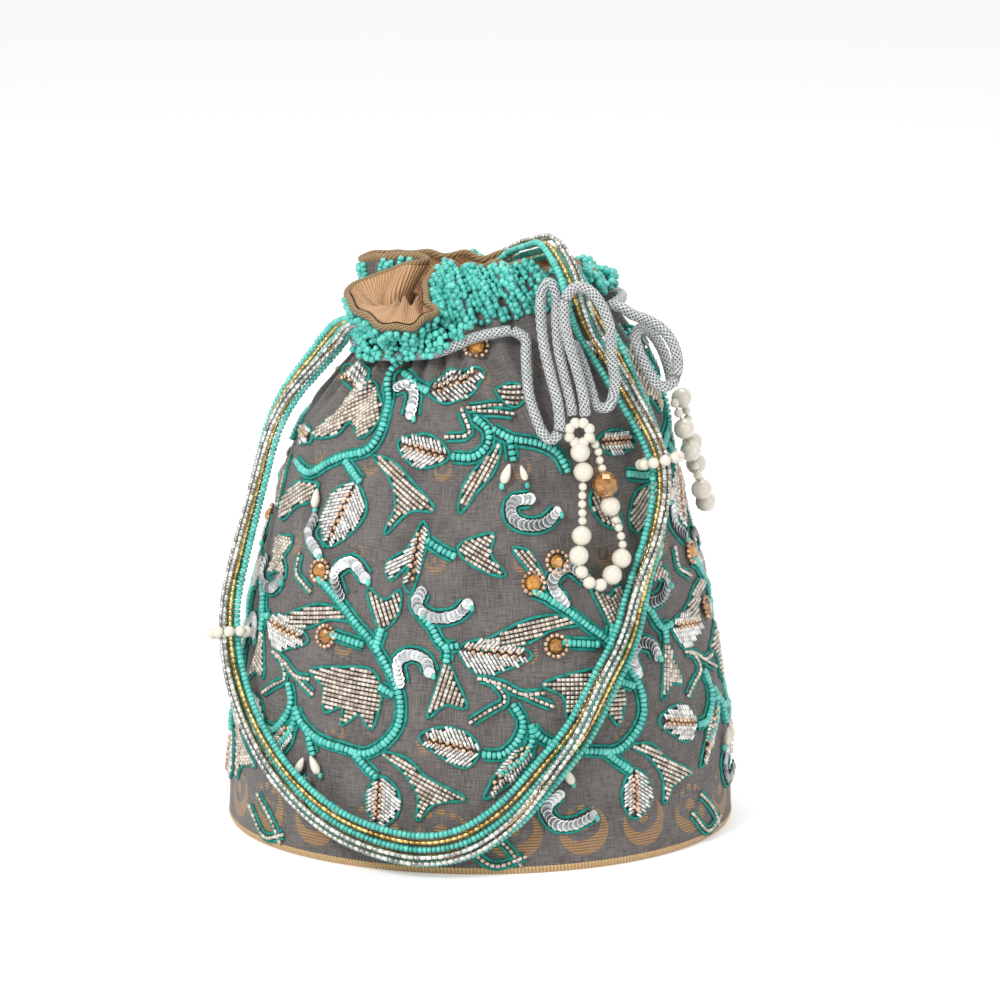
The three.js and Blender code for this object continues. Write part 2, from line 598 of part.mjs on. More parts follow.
const group = new THREE.Group();
const outerCloth = material(0x736c69, 0.9);
group.add(node('outer_shell', outerWall(OUTER_LEVELS.filter((level) => level <= 1)), outerCloth));
group.add(node('ruff', outerWall(OUTER_LEVELS.filter((level) => level >= 1)), outerCloth));
group.add(node('lining', lining(), material(0xc8966a, 0.6)));
group.add(node('base_cover', baseCover(), material(0xd2aa6e, 0.7)));
group.add(node('base_board', baseBoard(), material(0x8a7a66, 0.9)));
const turquoiseBeads = material(0x40beaf, 0.35);
Object.entries(COLLAR_STRIPS).forEach(([place, columns]) => {
  group.add(node(`collar_beading_${place}`, collarBeading(columns), turquoiseBeads));
});

const beadwork = material(0x9fb8ad, 0.35);
VINE_ROWS.forEach((row, r) => {
  for (let k = 0; k < VINE_REPEATS; k += 1) {
    const name = `vine_${r === 0 ? 'lower' : 'upper'}_${k + 1}`;
    group.add(node(name, vine(row, (360 * k) / VINE_REPEATS), beadwork));
  }
});

const STRAND_FINISHES = {
  turquoise: [TURQUOISE_DIAMETER, turquoiseBeads],
  gold: [BUGLE_DIAMETER, material(0xc8963c, 0.3, 0.6)],
  silver: [BUGLE_DIAMETER, material(0xc9c4ba, 0.3, 0.4)],
};
STRANDS.forEach(([kind, place, places]) => {
  const [diameter, finish] = STRAND_FINISHES[kind];
  group.add(node(`strand_${kind}_${place}`, tube(strandPath(places), diameter, HANDLE_STEPS), finish));
});

const pearlFinish = material(0xebe4cd, 0.25);
Object.entries(TIE_SHARES).forEach(([side, share]) => {
  group.add(node(`strand_tie_${side}`, strandTie(share), pearlFinish));
});

const silverCord = material(0xb9bebe, 0.45, 0.3);
const frontPath = curveThrough([past(neckPath, 0), ...DRAWSTRING_FRONT_ROUTE]);
const backPath = curveThrough([past(neckPath, 1), ...DRAWSTRING_BACK_ROUTE]);
group.add(node('drawstring_neck', tube(neckPath, DRAWSTRING_DIAMETER, 34), silverCord));
group.add(node('drawstring_front', tube(frontPath, DRAWSTRING_DIAMETER, 38), silverCord));
group.add(node('drawstring_loop', tube(curveThrough(DRAWSTRING_LOOP_ROUTE), DRAWSTRING_DIAMETER, 34), silverCord));
group.add(node('drawstring_back', tube(backPath, DRAWSTRING_DIAMETER, 36), silverCord));

group.add(node('tassel_front', frontTassel(), pearlFinish));
group.add(node('tassel_rear', joined(pearlString(curveThrough(REAR_LOOP_ROUTE), REAR_LOOP_PEARLS)), pearlFinish));

export default group;
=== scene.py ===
"""Potli bag: a beaded drawstring pouch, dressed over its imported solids.

Lengths are millimetres until a mesh is written, which is in metres. +Z runs up from the table and the front faces -Y.
A point on the bag is an angle from the front in degrees, a height, and a distance outwards from the cloth. A place on
the cloth is a thread u, from 0 to 1 round the bag, and a level: 0 at the table, 1 at the neck and 2 at the rim.
"""

import logging
import math
from dataclasses import dataclass
from enum import Enum

import bmesh
import bpy
import numpy as np
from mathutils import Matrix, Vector


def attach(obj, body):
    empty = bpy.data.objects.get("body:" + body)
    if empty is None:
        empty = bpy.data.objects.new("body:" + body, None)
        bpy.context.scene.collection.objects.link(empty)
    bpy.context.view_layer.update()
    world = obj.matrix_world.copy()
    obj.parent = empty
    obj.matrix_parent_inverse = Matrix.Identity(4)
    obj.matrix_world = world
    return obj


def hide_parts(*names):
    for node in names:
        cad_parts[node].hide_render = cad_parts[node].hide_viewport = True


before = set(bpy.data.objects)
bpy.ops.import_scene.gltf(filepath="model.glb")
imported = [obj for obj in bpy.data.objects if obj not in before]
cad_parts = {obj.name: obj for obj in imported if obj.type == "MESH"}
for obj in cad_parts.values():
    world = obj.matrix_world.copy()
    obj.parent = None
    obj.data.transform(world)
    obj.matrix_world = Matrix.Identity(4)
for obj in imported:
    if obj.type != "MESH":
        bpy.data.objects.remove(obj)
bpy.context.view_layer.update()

logging.basicConfig(level=logging.INFO, format="%(message)s")
LOG = logging.getLogger("potli")
RNG = np.random.default_rng(11)

Array = np.ndarray
METRES = 0.001
SPAN_POINTS = 24

# The bag's body, as its solid has it: height, half width, and depth over width.
STATIONS = np.array([
    [0, 96, 0.85], [6, 96.3, 0.85], [26, 95.2, 0.845], [55, 92.2, 0.84], [99, 83.5, 0.83], [130, 76, 0.79],
    [150, 70.5, 0.76], [163, 66, 0.72], [177, 58, 0.67], [188, 49, 0.62], [197.5, 44, 0.59],
])
# The ruff's rim: x, y, z, the angle on the neck below it, and the depth of its pleats.
RIM_ANGLE, RIM_DEPTH = 3, 4
RUFF_RIM = np.array([
    [43, 2, 212, 90, 1], [38, -4, 213.5, 76, 2], [31, -8, 213.5, 62, 2.2], [23.5, -10.5, 215, 49, 2.2],
    [16, -11.5, 217.5, 36, 2.2], [8.5, -12, 218, 24, 2.2], [1, -12, 217.5, 12, 2.2], [-6, -11, 216.5, 1, 2],
    [-12, -9.5, 218, -9, 1.2], [-16, -9, 216, -16, 0.4], [-19, -14, 211.5, -21, 0.3],
    [-19, -23, 207, -27, 0.5], [-16, -31, 203.5, -32, 0.8], [-22, -37, 199.8, -38, 0.8],
    [-31, -38, 197.8, -45, 0.8], [-40, -31, 199, -54, 0.8], [-47, -18, 201, -64, 0.6],
    [-50.5, -3, 202.8, -75, 0.3], [-48, 5, 205, -84, 0.2], [-40, 7.5, 208, -90, 0.1],
    [-32, 7.5, 211, -95, 0.1], [-25, 6, 214, -99, 0], [-21, 8, 215.5, -102, 0], [-25, 11.5, 216, -106, 0],
    [-34, 14, 215, -111, 0.4], [-42, 16.5, 213.5, -117, 0.5], [-46, 21, 211.5, -124, 0.5],
    [-43, 27.5, 212, -133, 0.8], [-34, 29, 213, -144, 1.6], [-24, 27, 213.5, -157, 2.2],
    [-13, 24.5, 214, -171, 2.2], [-2, 22, 214, -185, 2.2], [9, 20, 214.5, -199, 2.2], [20, 17, 214.5, -214, 2.2],
    [30, 13.5, 214, -231, 2.2], [38, 8.5, 213, -250, 1.8],
])
NECK_HEIGHT = 197.5
NECK_TILT, TILT_STARTS = 0.15, 140
NECK_LEAN, LEAN_STARTS, LEAN_ENDS = 3, 120, 190
PLEATS, GATHER_DEPTH, GATHER_STARTS = 27, 2.0, 150
RUFF_BULGE, PLEAT_RISE, PUCKER_ENDS = 3.0, 1.6, 0.9
SHELL_WALL, LINING_GAP, LINING_WALL, WAIST_PINCH = 1.1, 1.0, 0.8, 10.0
HEM_HEIGHT = 2.7
BACK_SEAM = -0.25


def smooth(value: Array, low: float, high: float) -> Array:
    """Returns 0 below low, 1 above high and a smooth step between."""
    share = np.clip((np.asarray(value, float) - low) / (high - low), 0, 1)
    return share * share * (3 - 2 * share)


def unit(vectors: Array) -> Array:
    """Returns the vectors scaled to length 1."""
    return vectors / np.maximum(np.linalg.norm(vectors, axis=-1, keepdims=True), 1e-9)


def cubic(s: Array, start: Array, leave: Array, end: Array, arrive: Array) -> Array:
    """Cubic from start to end as s runs from 0 to 1, with the slopes leave and arrive at its ends."""
    return ((2 * s**3 - 3 * s**2 + 1) * start + (s**3 - 2 * s**2 + s) * leave
            + (3 * s**2 - 2 * s**3) * end + (s**3 - s**2) * arrive)


def hermite(rows: Array, column: int, place: Array) -> Array:
    """Smooth curve through rows of [place, value, ...].

    Args:
        rows: the stations, ordered by their first column.
        column: which value to read.
        place: where to read it.

    Returns:
        The cubic through the two nearest rows, with each slope taken from the rows on its two sides.
    """
    xs, ys = rows[:, 0], rows[:, column]
    before, after = np.maximum(np.arange(len(xs)) - 1, 0), np.minimum(np.arange(len(xs)) + 1, len(xs) - 1)
    slopes = (ys[after] - ys[before]) / (xs[after] - xs[before])
    at = np.clip(place, xs[0], xs[-1])
    i = np.clip(np.searchsorted(xs, at, side="right") - 1, 0, len(xs) - 2)
    span = xs[i + 1] - xs[i]
    return cubic((at - xs[i]) / span, ys[i], span * slopes[i], ys[i + 1], span * slopes[i + 1])


def curve_through(points: Array, spacing: float, closed: bool = False) -> Array:
    """Points at even spacing along a centripetal Catmull-Rom curve through the given points."""
    p = np.asarray(points, float)
    if closed:
        p = np.vstack([p[-1], p, p[0], p[1]])
    else:
        p = np.vstack([2 * p[0] - p[1], p, 2 * p[-1] - p[-2]])
    p0, p1, p2, p3 = (p[i:len(p) - 3 + i][:, None] for i in range(4))
    step = [np.sqrt(np.maximum(np.linalg.norm(b - a, axis=-1, keepdims=True), 1e-6))
            for a, b in ((p0, p1), (p1, p2), (p2, p3))]
    into = ((p1 - p0) / step[0] - (p2 - p0) / (step[0] + step[1]) + (p2 - p1) / step[1]) * step[1]
    out = ((p2 - p1) / step[1] - (p3 - p1) / (step[1] + step[2]) + (p3 - p2) / step[2]) * step[1]
    s = np.linspace(0, 1, SPAN_POINTS, endpoint=False)[None, :, None]
    dense = cubic(s, p1, into, p2, out).reshape(-1, p.shape[1])
    dense = np.vstack([dense, p[-2]])
    length = np.concatenate([[0], np.cumsum(np.linalg.norm(np.diff(dense, axis=0), axis=1))])
    count = max(int(round(length[-1] / spacing)), 2)
    at = np.linspace(0, length[-1], count + 1)[:count if closed else count + 1]
    return np.stack([np.interp(at, length, dense[:, k]) for k in range(p.shape[1])], axis=1)


def path_length(path: Array) -> float:
    """Length of a polyline."""
    return float(np.linalg.norm(np.diff(path, axis=0), axis=1).sum())


def tangents(path: Array) -> Array:
    """Unit direction at each point of a path."""
    return unit(np.gradient(path, axis=0))


class Bag:
    """The bag's surface: smooth body, gathers, ruff and lining."""

    @staticmethod
    def on(angle: Array, height: Array, distance: Array = 0.0) -> Array:
        """Point beside the smooth body, from its angle, height and distance."""
        angle, height = np.broadcast_arrays(np.asarray(angle, float), np.asarray(height, float))
        half_width = hermite(STATIONS, 1, height)
        half_depth = half_width * hermite(STATIONS, 2, height)
        turn = np.radians(angle)
        lean = NECK_LEAN * smooth(height, LEAN_STARTS, LEAN_ENDS)
        x = lean + (half_width + distance) * np.sin(turn)
        y = -(half_depth + distance) * np.cos(turn)
        z = height + NECK_TILT * x * smooth(height, TILT_STARTS, NECK_HEIGHT)
        return np.stack([x, y, z], axis=-1)

    @classmethod
    def normal(cls, angle: Array, height: Array) -> Array:
        """Outward direction of the smooth body."""
        across = cls.on(angle + 0.5, height) - cls.on(angle - 0.5, height)
        up = cls.on(angle, height + 0.5) - cls.on(angle, height - 0.5)
        return unit(np.cross(across, up))

    @staticmethod
    def rim(column: int, u: Array) -> Array:
        """Closed curve through one column of the ruff's rim. The angle unwinds by 360 a round."""
        count = len(RUFF_RIM)
        rounds = np.floor(u)
        turn = (u - rounds) * count
        i = np.floor(turn).astype(int)
        s = turn - i

        def value(k: Array) -> Array:
            turns = rounds + np.floor(k / count)
            return RUFF_RIM[k % count, column] - (360 * turns if column == RIM_ANGLE else 0)

        a, b, c, d = value(i - 1), value(i), value(i + 1), value(i + 2)
        return 0.5 * (2 * b + (c - a) * s + (2 * a - 5 * b + 4 * c - d) * s**2 + (3 * b - a - 3 * c + d) * s**3)

    @classmethod
    def angle_of(cls, u: Array, height: Array) -> Array:
        """Angle reached by the thread of cloth at u: even on the body, and blended to the ruff's at the neck."""
        even = 90 - 360 * u
        return even + (cls.rim(RIM_ANGLE, u) - even) * smooth(height, GATHER_STARTS, NECK_HEIGHT)

    @classmethod
    def smooth_cloth(cls, u: Array, level: Array) -> Array:
        """Cloth without pleats: level 0 at the table, 1 at the neck, 2 at the rim."""
        u, level = np.broadcast_arrays(np.asarray(u, float), np.asarray(level, float))
        height = np.minimum(level, 1) * NECK_HEIGHT
        root = cls.on(cls.angle_of(u, height), height)
        rim = np.stack([cls.rim(k, u) for k in range(3)], axis=-1)
        return root + (rim - root) * np.clip(level - 1, 0, 1)[..., None]

    @classmethod
    def outward(cls, u: Array, level: Array) -> Array:
        """Outward direction of the cloth without pleats."""
        low, high = np.maximum(level - 0.01, 0), np.minimum(level + 0.01, 2)
        along = cls.smooth_cloth(u + 0.002, level) - cls.smooth_cloth(u - 0.002, level)
        up = cls.smooth_cloth(u, high) - cls.smooth_cloth(u, low)
        return unit(np.cross(up, along))

    @staticmethod
    def pucker(angle: Array, height: Array) -> Array:
        """Small relief that the stitching draws into the cloth. It fades out at the hem."""
        turn = np.radians(angle)
        waves = 0.42 * np.sin(9 * turn + 0.06 * height) * np.sin(0.13 * height - 3 * turn)
        fine = 0.2 * np.sin(23 * turn + 0.19 * height + 1) + 0.16 * np.sin(17 * turn - 0.27 * height)
        return (waves + fine) * smooth(height, 4, 22)

    @classmethod
    def cloth(cls, u: Array, level: Array, distance: float = 0.0) -> Array:
        """Cloth with its pleats, moved outwards by the given distance."""
        u, level = np.broadcast_arrays(np.asarray(u, float), np.asarray(level, float))
        height = np.minimum(level, 1) * NECK_HEIGHT
        up = np.clip(level - 1, 0, 1)
        rim_depth = cls.rim(RIM_DEPTH, u)
        gather = GATHER_DEPTH * smooth(height, GATHER_STARTS, NECK_HEIGHT)
        depth = np.where(level > 1, gather + (rim_depth - gather) * np.minimum(1, PLEAT_RISE * up), gather)
        bulge = RUFF_BULGE * np.sin(np.pi * up) * np.minimum(1, rim_depth)
        relief = cls.pucker(cls.angle_of(u, height), height) * (1 - smooth(level, PUCKER_ENDS, 1.0))
        reach = bulge + depth * np.cos(2 * np.pi * PLEATS * u) + relief + distance
        return cls.smooth_cloth(u, level) + cls.outward(u, level) * reach[..., None]

    @classmethod
    def skin(cls, angle: Array, height: Array, distance: Array = 0.0) -> Array:
        """Point above the gathered body cloth, from its angle and height."""
        angle, height = np.broadcast_arrays(np.asarray(angle, float), np.asarray(height, float))
        thread = (90 - angle) / 360
        table = np.linspace(-1.5, 2.5, 4001)
        for low in np.arange(GATHER_STARTS, NECK_HEIGHT, 2.0):
            here = (height >= low) & (height < low + 2.0)
            if here.any():
                thread = np.where(here, np.interp(-angle, -cls.angle_of(table, low + 1.0), table), thread)
        gather = GATHER_DEPTH * smooth(height, GATHER_STARTS, NECK_HEIGHT) * np.cos(2 * np.pi * PLEATS * thread)
        reach = gather + cls.pucker(angle, height) + distance
        return cls.on(angle, height) + cls.normal(angle, height) * np.asarray(reach)[..., None]

    @staticmethod
    def lining_distance(level: Array) -> Array:
        """Distance inwards from the outer cloth to the lining. The drawstring pinches it in at the neck."""
        rise = np.where(level > 1, (2 - level) ** 2, smooth(level * NECK_HEIGHT, GATHER_STARTS, NECK_HEIGHT))
        return SHELL_WALL + LINING_GAP + LINING_WALL + WAIST_PINCH * rise


class Field:
    """A number or vector that a shader works out at each point. Fields combine as numbers do in a formula."""

    def __init__(self, graph: "Graph", socket: bpy.types.NodeSocket) -> None:
        self.graph, self.socket = graph, socket

    def apply(self, operation: str, other: object = 0.0) -> "Field":
        """Result of one math node."""
        return self.graph.math(operation, self, other)

    def __add__(self, other: object) -> "Field":
        return self.apply("ADD", other)

    def __sub__(self, other: object) -> "Field":
        return self.apply("SUBTRACT", other)

    def __rsub__(self, other: float) -> "Field":
        return self.graph.math("SUBTRACT", other, self)

    def __mul__(self, other: object) -> "Field":
        return self.apply("MULTIPLY", other)

    def clamped(self) -> "Field":
        """The same number, held between 0 and 1."""
        self.socket.node.use_clamp = True
        return self

    def wave(self, period: float) -> "Field":
        """Sine of a length, one turn a period."""
        return (self * (2 * math.pi / period)).apply("SINE")

    def cell(self, period: float) -> "Field":
        """Distance from the middle of the cell that a length falls in."""
        return (self.apply("DIVIDE", period).apply("FRACT") - 0.5) * period

    def under(self, limit: float, sharpness: float = 3.0) -> "Field":
        """1 where the number is under a limit and 0 where it is over, with a soft edge."""
        return ((limit - self) * sharpness).clamped()


class Graph:
    """Short way to write the nodes of a material or of the world."""

    def __init__(self, owner: bpy.types.ID) -> None:
        owner.use_nodes = True
        self.owner, self.nodes, self.links = owner, owner.node_tree.nodes, owner.node_tree.links

    def put(self, socket: bpy.types.NodeSocket, value: object) -> None:
        """Sets a socket to a number or colour, or links it to a field."""
        if isinstance(value, Field):
            self.links.new(value.socket, socket)
        elif isinstance(value, tuple):
            socket.default_value = (*value, 1) if len(socket.default_value) == 4 else value
        else:
            socket.default_value = value

    def set(self, **values: object) -> None:
        """Sets the Principled shader's own inputs, named with _ for a space."""
        for name, value in values.items():
            self.put(self.nodes["Principled BSDF"].inputs[name.replace("_", " ")], value)

    def node(self, kind: str, inputs: dict, output: object = 0, **settings: str) -> Field:
        """Makes a node of a kind with its inputs and settings, and returns one of its outputs."""
        node = self.nodes.new("ShaderNode" + kind)
        for name, value in settings.items():
            setattr(node, name, value)
        for name, value in inputs.items():
            self.put(node.inputs[name], value)
        return Field(self, node.outputs[output])

    def math(self, operation: str, first: object, second: object) -> Field:
        """Result of one math node."""
        return self.node("Math", {0: first, 1: second}, operation=operation)

    def tint(self) -> Field:
        """The random tone of a bead, from 0 to 1; on a cut stone, also the painted light and shade of each facet."""
        return self.node("Attribute", {}, "Fac", attribute_name="tint")

    def flat(self) -> tuple:
        """The two lengths that a pattern on cloth or cord follows."""
        x = self.node("SeparateXYZ", {0: self.node("Attribute", {}, "Vector", attribute_name="flat")})
        return x, Field(self, x.socket.node.outputs[1])

    def noise(self, x: Field, y: Field, scale_x: float, scale_y: float) -> Field:
        """Noise stretched along one of two coordinates."""
        place = self.node("CombineXYZ", {0: x * scale_x, 1: y * scale_y})
        return self.node("TexNoise", {"Vector": place, "Scale": 1.0, "Detail": 2.0}, "Fac")

    def object_noise(self, scale: float) -> Field:
        """Noise on the piece's own coordinates, in metres."""
        return self.node("TexNoise", {"Vector": self.node("TexCoord", {}, "Object"), "Scale": scale}, "Fac")

    def mix(self, share: Field, first: tuple, second: object) -> Field:
        """Colour between two others."""
        return self.node("Mix", {0: share, 6: first, 7: second}, 2, data_type="RGBA")

    def bump(self, height: Field, depth_mm: float) -> None:
        """Bump on the shader from a height of 0 to 1."""
        self.set(Normal=self.node("Bump", {"Height": height, "Distance": depth_mm * METRES}))

    def seen(self, extra: float, level: float) -> Field:
        """A strength of level, and of level plus extra where the camera, gloss or glass sees it."""
        camera, gloss, glass = (self.node("LightPath", {}, f"Is {ray} Ray")
                                for ray in ("Camera", "Glossy", "Transmission"))
        return camera.apply("MAXIMUM", gloss).apply("MAXIMUM", glass) * extra + level


MATERIALS: dict = {}


@dataclass(frozen=True)
class Finish:
    """A look by name. Its material is made once."""

    name: str

    def material(self) -> bpy.types.Material:
        """The finish's material."""
        if self.name not in MATERIALS:
            graph = Graph(bpy.data.materials.new(self.name))
            self.paint(graph)
            MATERIALS[self.name] = graph.owner
        return MATERIALS[self.name]

    def paint(self, graph: Graph) -> None:
        """Sets the shader's inputs. Each kind of finish has its own."""
        raise NotImplementedError


@dataclass(frozen=True)
class BeadFinish(Finish):
    """Glossy beads, each tinted between two colours."""

    low: tuple
    high: tuple
    metallic: float = 0.0
    roughness: float = 0.22
    coat: float = 0.5

    def paint(self, graph: Graph) -> None:
        """Tint plus a little cloudiness between the two colours, under a coat."""
        cloud = graph.object_noise(900.0)
        share = (graph.tint() + (cloud - 0.5) * 0.4).clamped()
        graph.set(Base_Color=graph.mix(share, self.low, self.high), Metallic=self.metallic,
                  Roughness=cloud * 0.08 + self.roughness, Coat_Weight=self.coat, Coat_Roughness=0.08)


@dataclass(frozen=True)
class BrocadeFinish(Finish):
    """Grey slubbed cloth with gold woven crescents, and a row of larger ones above the hem."""

    dark: tuple
    light: tuple
    gold: tuple
    spot_cell: tuple = (37.0, 33.0)
    spot_size: float = 4.4
    spots_start: float = 30.0
    band_cell: float = 25.0
    band_size: float = 9.5
    band_height: float = 15.0
    band_middle: float = 14.5
    band_reach: float = 13.0

    def paint(self, graph: Graph) -> None:
        """Crossed slubs and soft patches, then the gold motifs, all drawn on the lengths around and up the bag."""
        x, y = graph.flat()
        threads = (graph.noise(x, y, 2.4, 0.16) + graph.noise(x, y, 0.16, 2.4)) * 0.5
        patch = graph.noise(x, y, 0.05, 0.05)
        tone = ((threads + (patch - 0.5) * 0.3 - 0.36) * 3.4).clamped()
        spots = self.crescents(x.cell(self.spot_cell[0]), y.cell(self.spot_cell[1]), self.spot_size)
        band = self.crescents(x.cell(self.band_cell), y - self.band_height, self.band_size)
        high = y.apply("GREATER_THAN", self.spots_start) * 0.6
        low = (y - self.band_middle).apply("ABSOLUTE").under(self.band_reach)
        lines = ((y.wave(1.1) + 1.1) * 0.7).clamped()
        woven = ((spots * high + band * low) * lines).clamped()
        graph.set(Base_Color=graph.mix(woven * 0.85, graph.mix(tone, self.dark, self.light), self.gold),
                  Roughness=0.86 - woven * 0.4, Sheen_Weight=0.25, Sheen_Roughness=0.5)
        graph.bump(threads + woven * 0.35, 0.9)

    @staticmethod
    def crescents(x: Field, y: Field, size: float) -> Field:
        """A crescent that opens upwards, with a dot in it and three dots over it."""
        def disc(across: float, up: float, radius: float) -> Field:
            dx, dy = x - across * size, y - up * size
            return (dx * dx + dy * dy).apply("SQRT").under(radius * size)

        moon = (disc(0, 0, 1) - disc(0.1, 0.36, 0.78)).clamped()
        for dot in ((0.1, 0.2, 0.26), (-0.34, 0.78, 0.15), (0.1, 0.92, 0.17), (0.54, 0.78, 0.15)):
            moon = moon.apply("MAXIMUM", disc(*dot))
        return moon


@dataclass(frozen=True)
class StripeFinish(Finish):
    """Satin or braid with slanted stripes."""

    dark: tuple
    light: tuple
    period: float
    slant: float
    roughness: float
    depth_mm: float
    metallic: float = 0.0

    def paint(self, graph: Graph) -> None:
        """A sine of the slanted length, with slubs over it."""
        x, y = graph.flat()
        stripe = ((x + y * self.slant).wave(self.period) + 1.0) * 0.5
        slub = graph.noise(x, y, 1.6, 0.3)
        share = (stripe * 0.75 + slub * 0.3).clamped()
        graph.set(Base_Color=graph.mix(share, self.dark, self.light), Metallic=self.metallic,
                  Roughness=slub * 0.12 + self.roughness, Sheen_Weight=0.15)
        graph.bump(stripe + slub, self.depth_mm)


@dataclass(frozen=True)
class BraidFinish(Finish):
    """Knitted metallic cord: crossing strands, with painted shade in the gaps between them."""

    thread: tuple
    # gap: painted shade, the dark colour given to the gaps between the strands.
    gap: tuple
    lay: float
    strands: float

    def paint(self, graph: Graph) -> None:
        """The higher of two crossing sines, drawn on the turn around the cord and the length along it. Where both are
        low, the colour falls to painted shade; the fibre noise adds random tone.
        """
        turn, along = graph.flat()
        around = turn * (self.strands * self.lay)
        top = (around + along).wave(self.lay).apply("MAXIMUM", (around - along).wave(self.lay))
        fibre = graph.noise(around + along, turn, 6.0, 3.0)
        # Low crossings take the gap colour, which is painted shade; the silver strands take the thread colour.
        share = (top * 0.55 + fibre * 0.95).clamped()
        graph.set(Base_Color=graph.mix(share, self.gap, self.thread), Metallic=0.45, Roughness=0.62 - fibre * 0.3)
        graph.bump(top + fibre, 0.35)


@dataclass(frozen=True)
class PearlFinish(Finish):
    """Pearl lustre: pale, glossy and softly lit from within."""

    colour: tuple
    blush: tuple = (0.97, 0.9, 0.86)

    def paint(self, graph: Graph) -> None:
        """Clouds of the colour and of a rosier shade."""
        rosy = tuple(channel * shade for channel, shade in zip(self.colour, self.blush))
        graph.set(Base_Color=graph.mix(graph.object_noise(160.0), self.colour, rosy), Roughness=0.2)
        graph.set(Coat_Weight=1.0, Coat_Roughness=0.05, Subsurface_Weight=0.1, Subsurface_Scale=0.002)


@dataclass(frozen=True)
class StoneFinish(Finish):
    """Cut amber crystal, with painted light and shade on its facets."""

    # The first colour is painted shade, the amber of facets in shadow; bright is the painted highlight of lit facets.
    shaded_amber: tuple
    bright: tuple

    def paint(self, graph: Graph) -> None:
        """Painted light and shade: each facet's random share between a shaded and a lit amber, plus painted sparkle
        from noise, in clear hard gloss.
        """
        # The facet values and the noise paint lit and shaded facets and sparkle.
        share = (graph.tint() * 0.8 + graph.object_noise(700.0) * 0.35).clamped()
        graph.set(Base_Color=graph.mix(share, self.shaded_amber, self.bright), Metallic=0.2, Roughness=0.06)
        graph.set(Coat_Weight=1.0, Transmission_Weight=0.25, IOR=1.6)


TURQUOISE = BeadFinish("turquoise_glass", (0.04, 0.42, 0.36), (0.13, 0.66, 0.56), roughness=0.25, coat=0.6)
THREAD = BeadFinish("teal_thread", (0.0, 0.16, 0.13), (0.01, 0.33, 0.27), roughness=0.7, coat=0.0)
CLEAR = BeadFinish("clear_bugles", (0.36, 0.29, 0.23), (0.86, 0.77, 0.67), metallic=0.35, roughness=0.25)
BRIGHT = BeadFinish("silver_bugles", (0.46, 0.44, 0.41), (0.93, 0.92, 0.89), metallic=0.6, roughness=0.22)
BLUSH = BeadFinish("blush_bugles", (0.36, 0.19, 0.10), (0.82, 0.56, 0.38), metallic=0.45, roughness=0.22)
GOLD = BeadFinish("gold_bugles", (0.36, 0.19, 0.03), (0.93, 0.66, 0.24), metallic=0.85, roughness=0.22)
STEEL = BeadFinish("smoky_silver_bugles", (0.22, 0.21, 0.19), (0.8, 0.79, 0.75), metallic=0.75, roughness=0.24)
# The sequins' darker greys are painted shade, spread at random over them; the lighter greys are the foil's own
# silver.
SEQUIN = BeadFinish("sequin_foil", (0.36, 0.37, 0.37), (0.76, 0.78, 0.78), metallic=0.85, roughness=0.32, coat=0.2)
# Amber with painted light and shade on its facets.
STONE = StoneFinish("amber_stone", (0.11, 0.025, 0.001), (0.86, 0.37, 0.03))
PEARL = PearlFinish("pearl", (0.78, 0.75, 0.65))
BROCADE = BrocadeFinish("grey_brocade", (0.07, 0.06, 0.056), (0.215, 0.192, 0.18), (0.52, 0.26, 0.07))
SATIN = StripeFinish("champagne_satin", (0.36, 0.17, 0.07), (0.72, 0.45, 0.23), 2.4, 0.35, 0.42, 0.25)
BINDING = StripeFinish("grey_gold_binding", (0.09, 0.075, 0.065), (0.46, 0.27, 0.09), 1.5, 0.8, 0.55, 0.25, 0.3)
BASE_CLOTH = StripeFinish("gold_base_cloth", (0.42, 0.24, 0.09), (0.78, 0.55, 0.28), 1.3, 0.1, 0.5, 0.3, 0.15)
BOARD = StripeFinish("pressed_board", (0.2, 0.15, 0.1), (0.34, 0.27, 0.19), 3.0, 0.4, 0.9, 0.2)
# The braid's second colour is painted shade in the gaps between its strands.
SILVER_CORD = BraidFinish("silver_braid_painted_gap_shade", (0.78, 0.8, 0.8), (0.1, 0.11, 0.11), 1.8, 7.0)


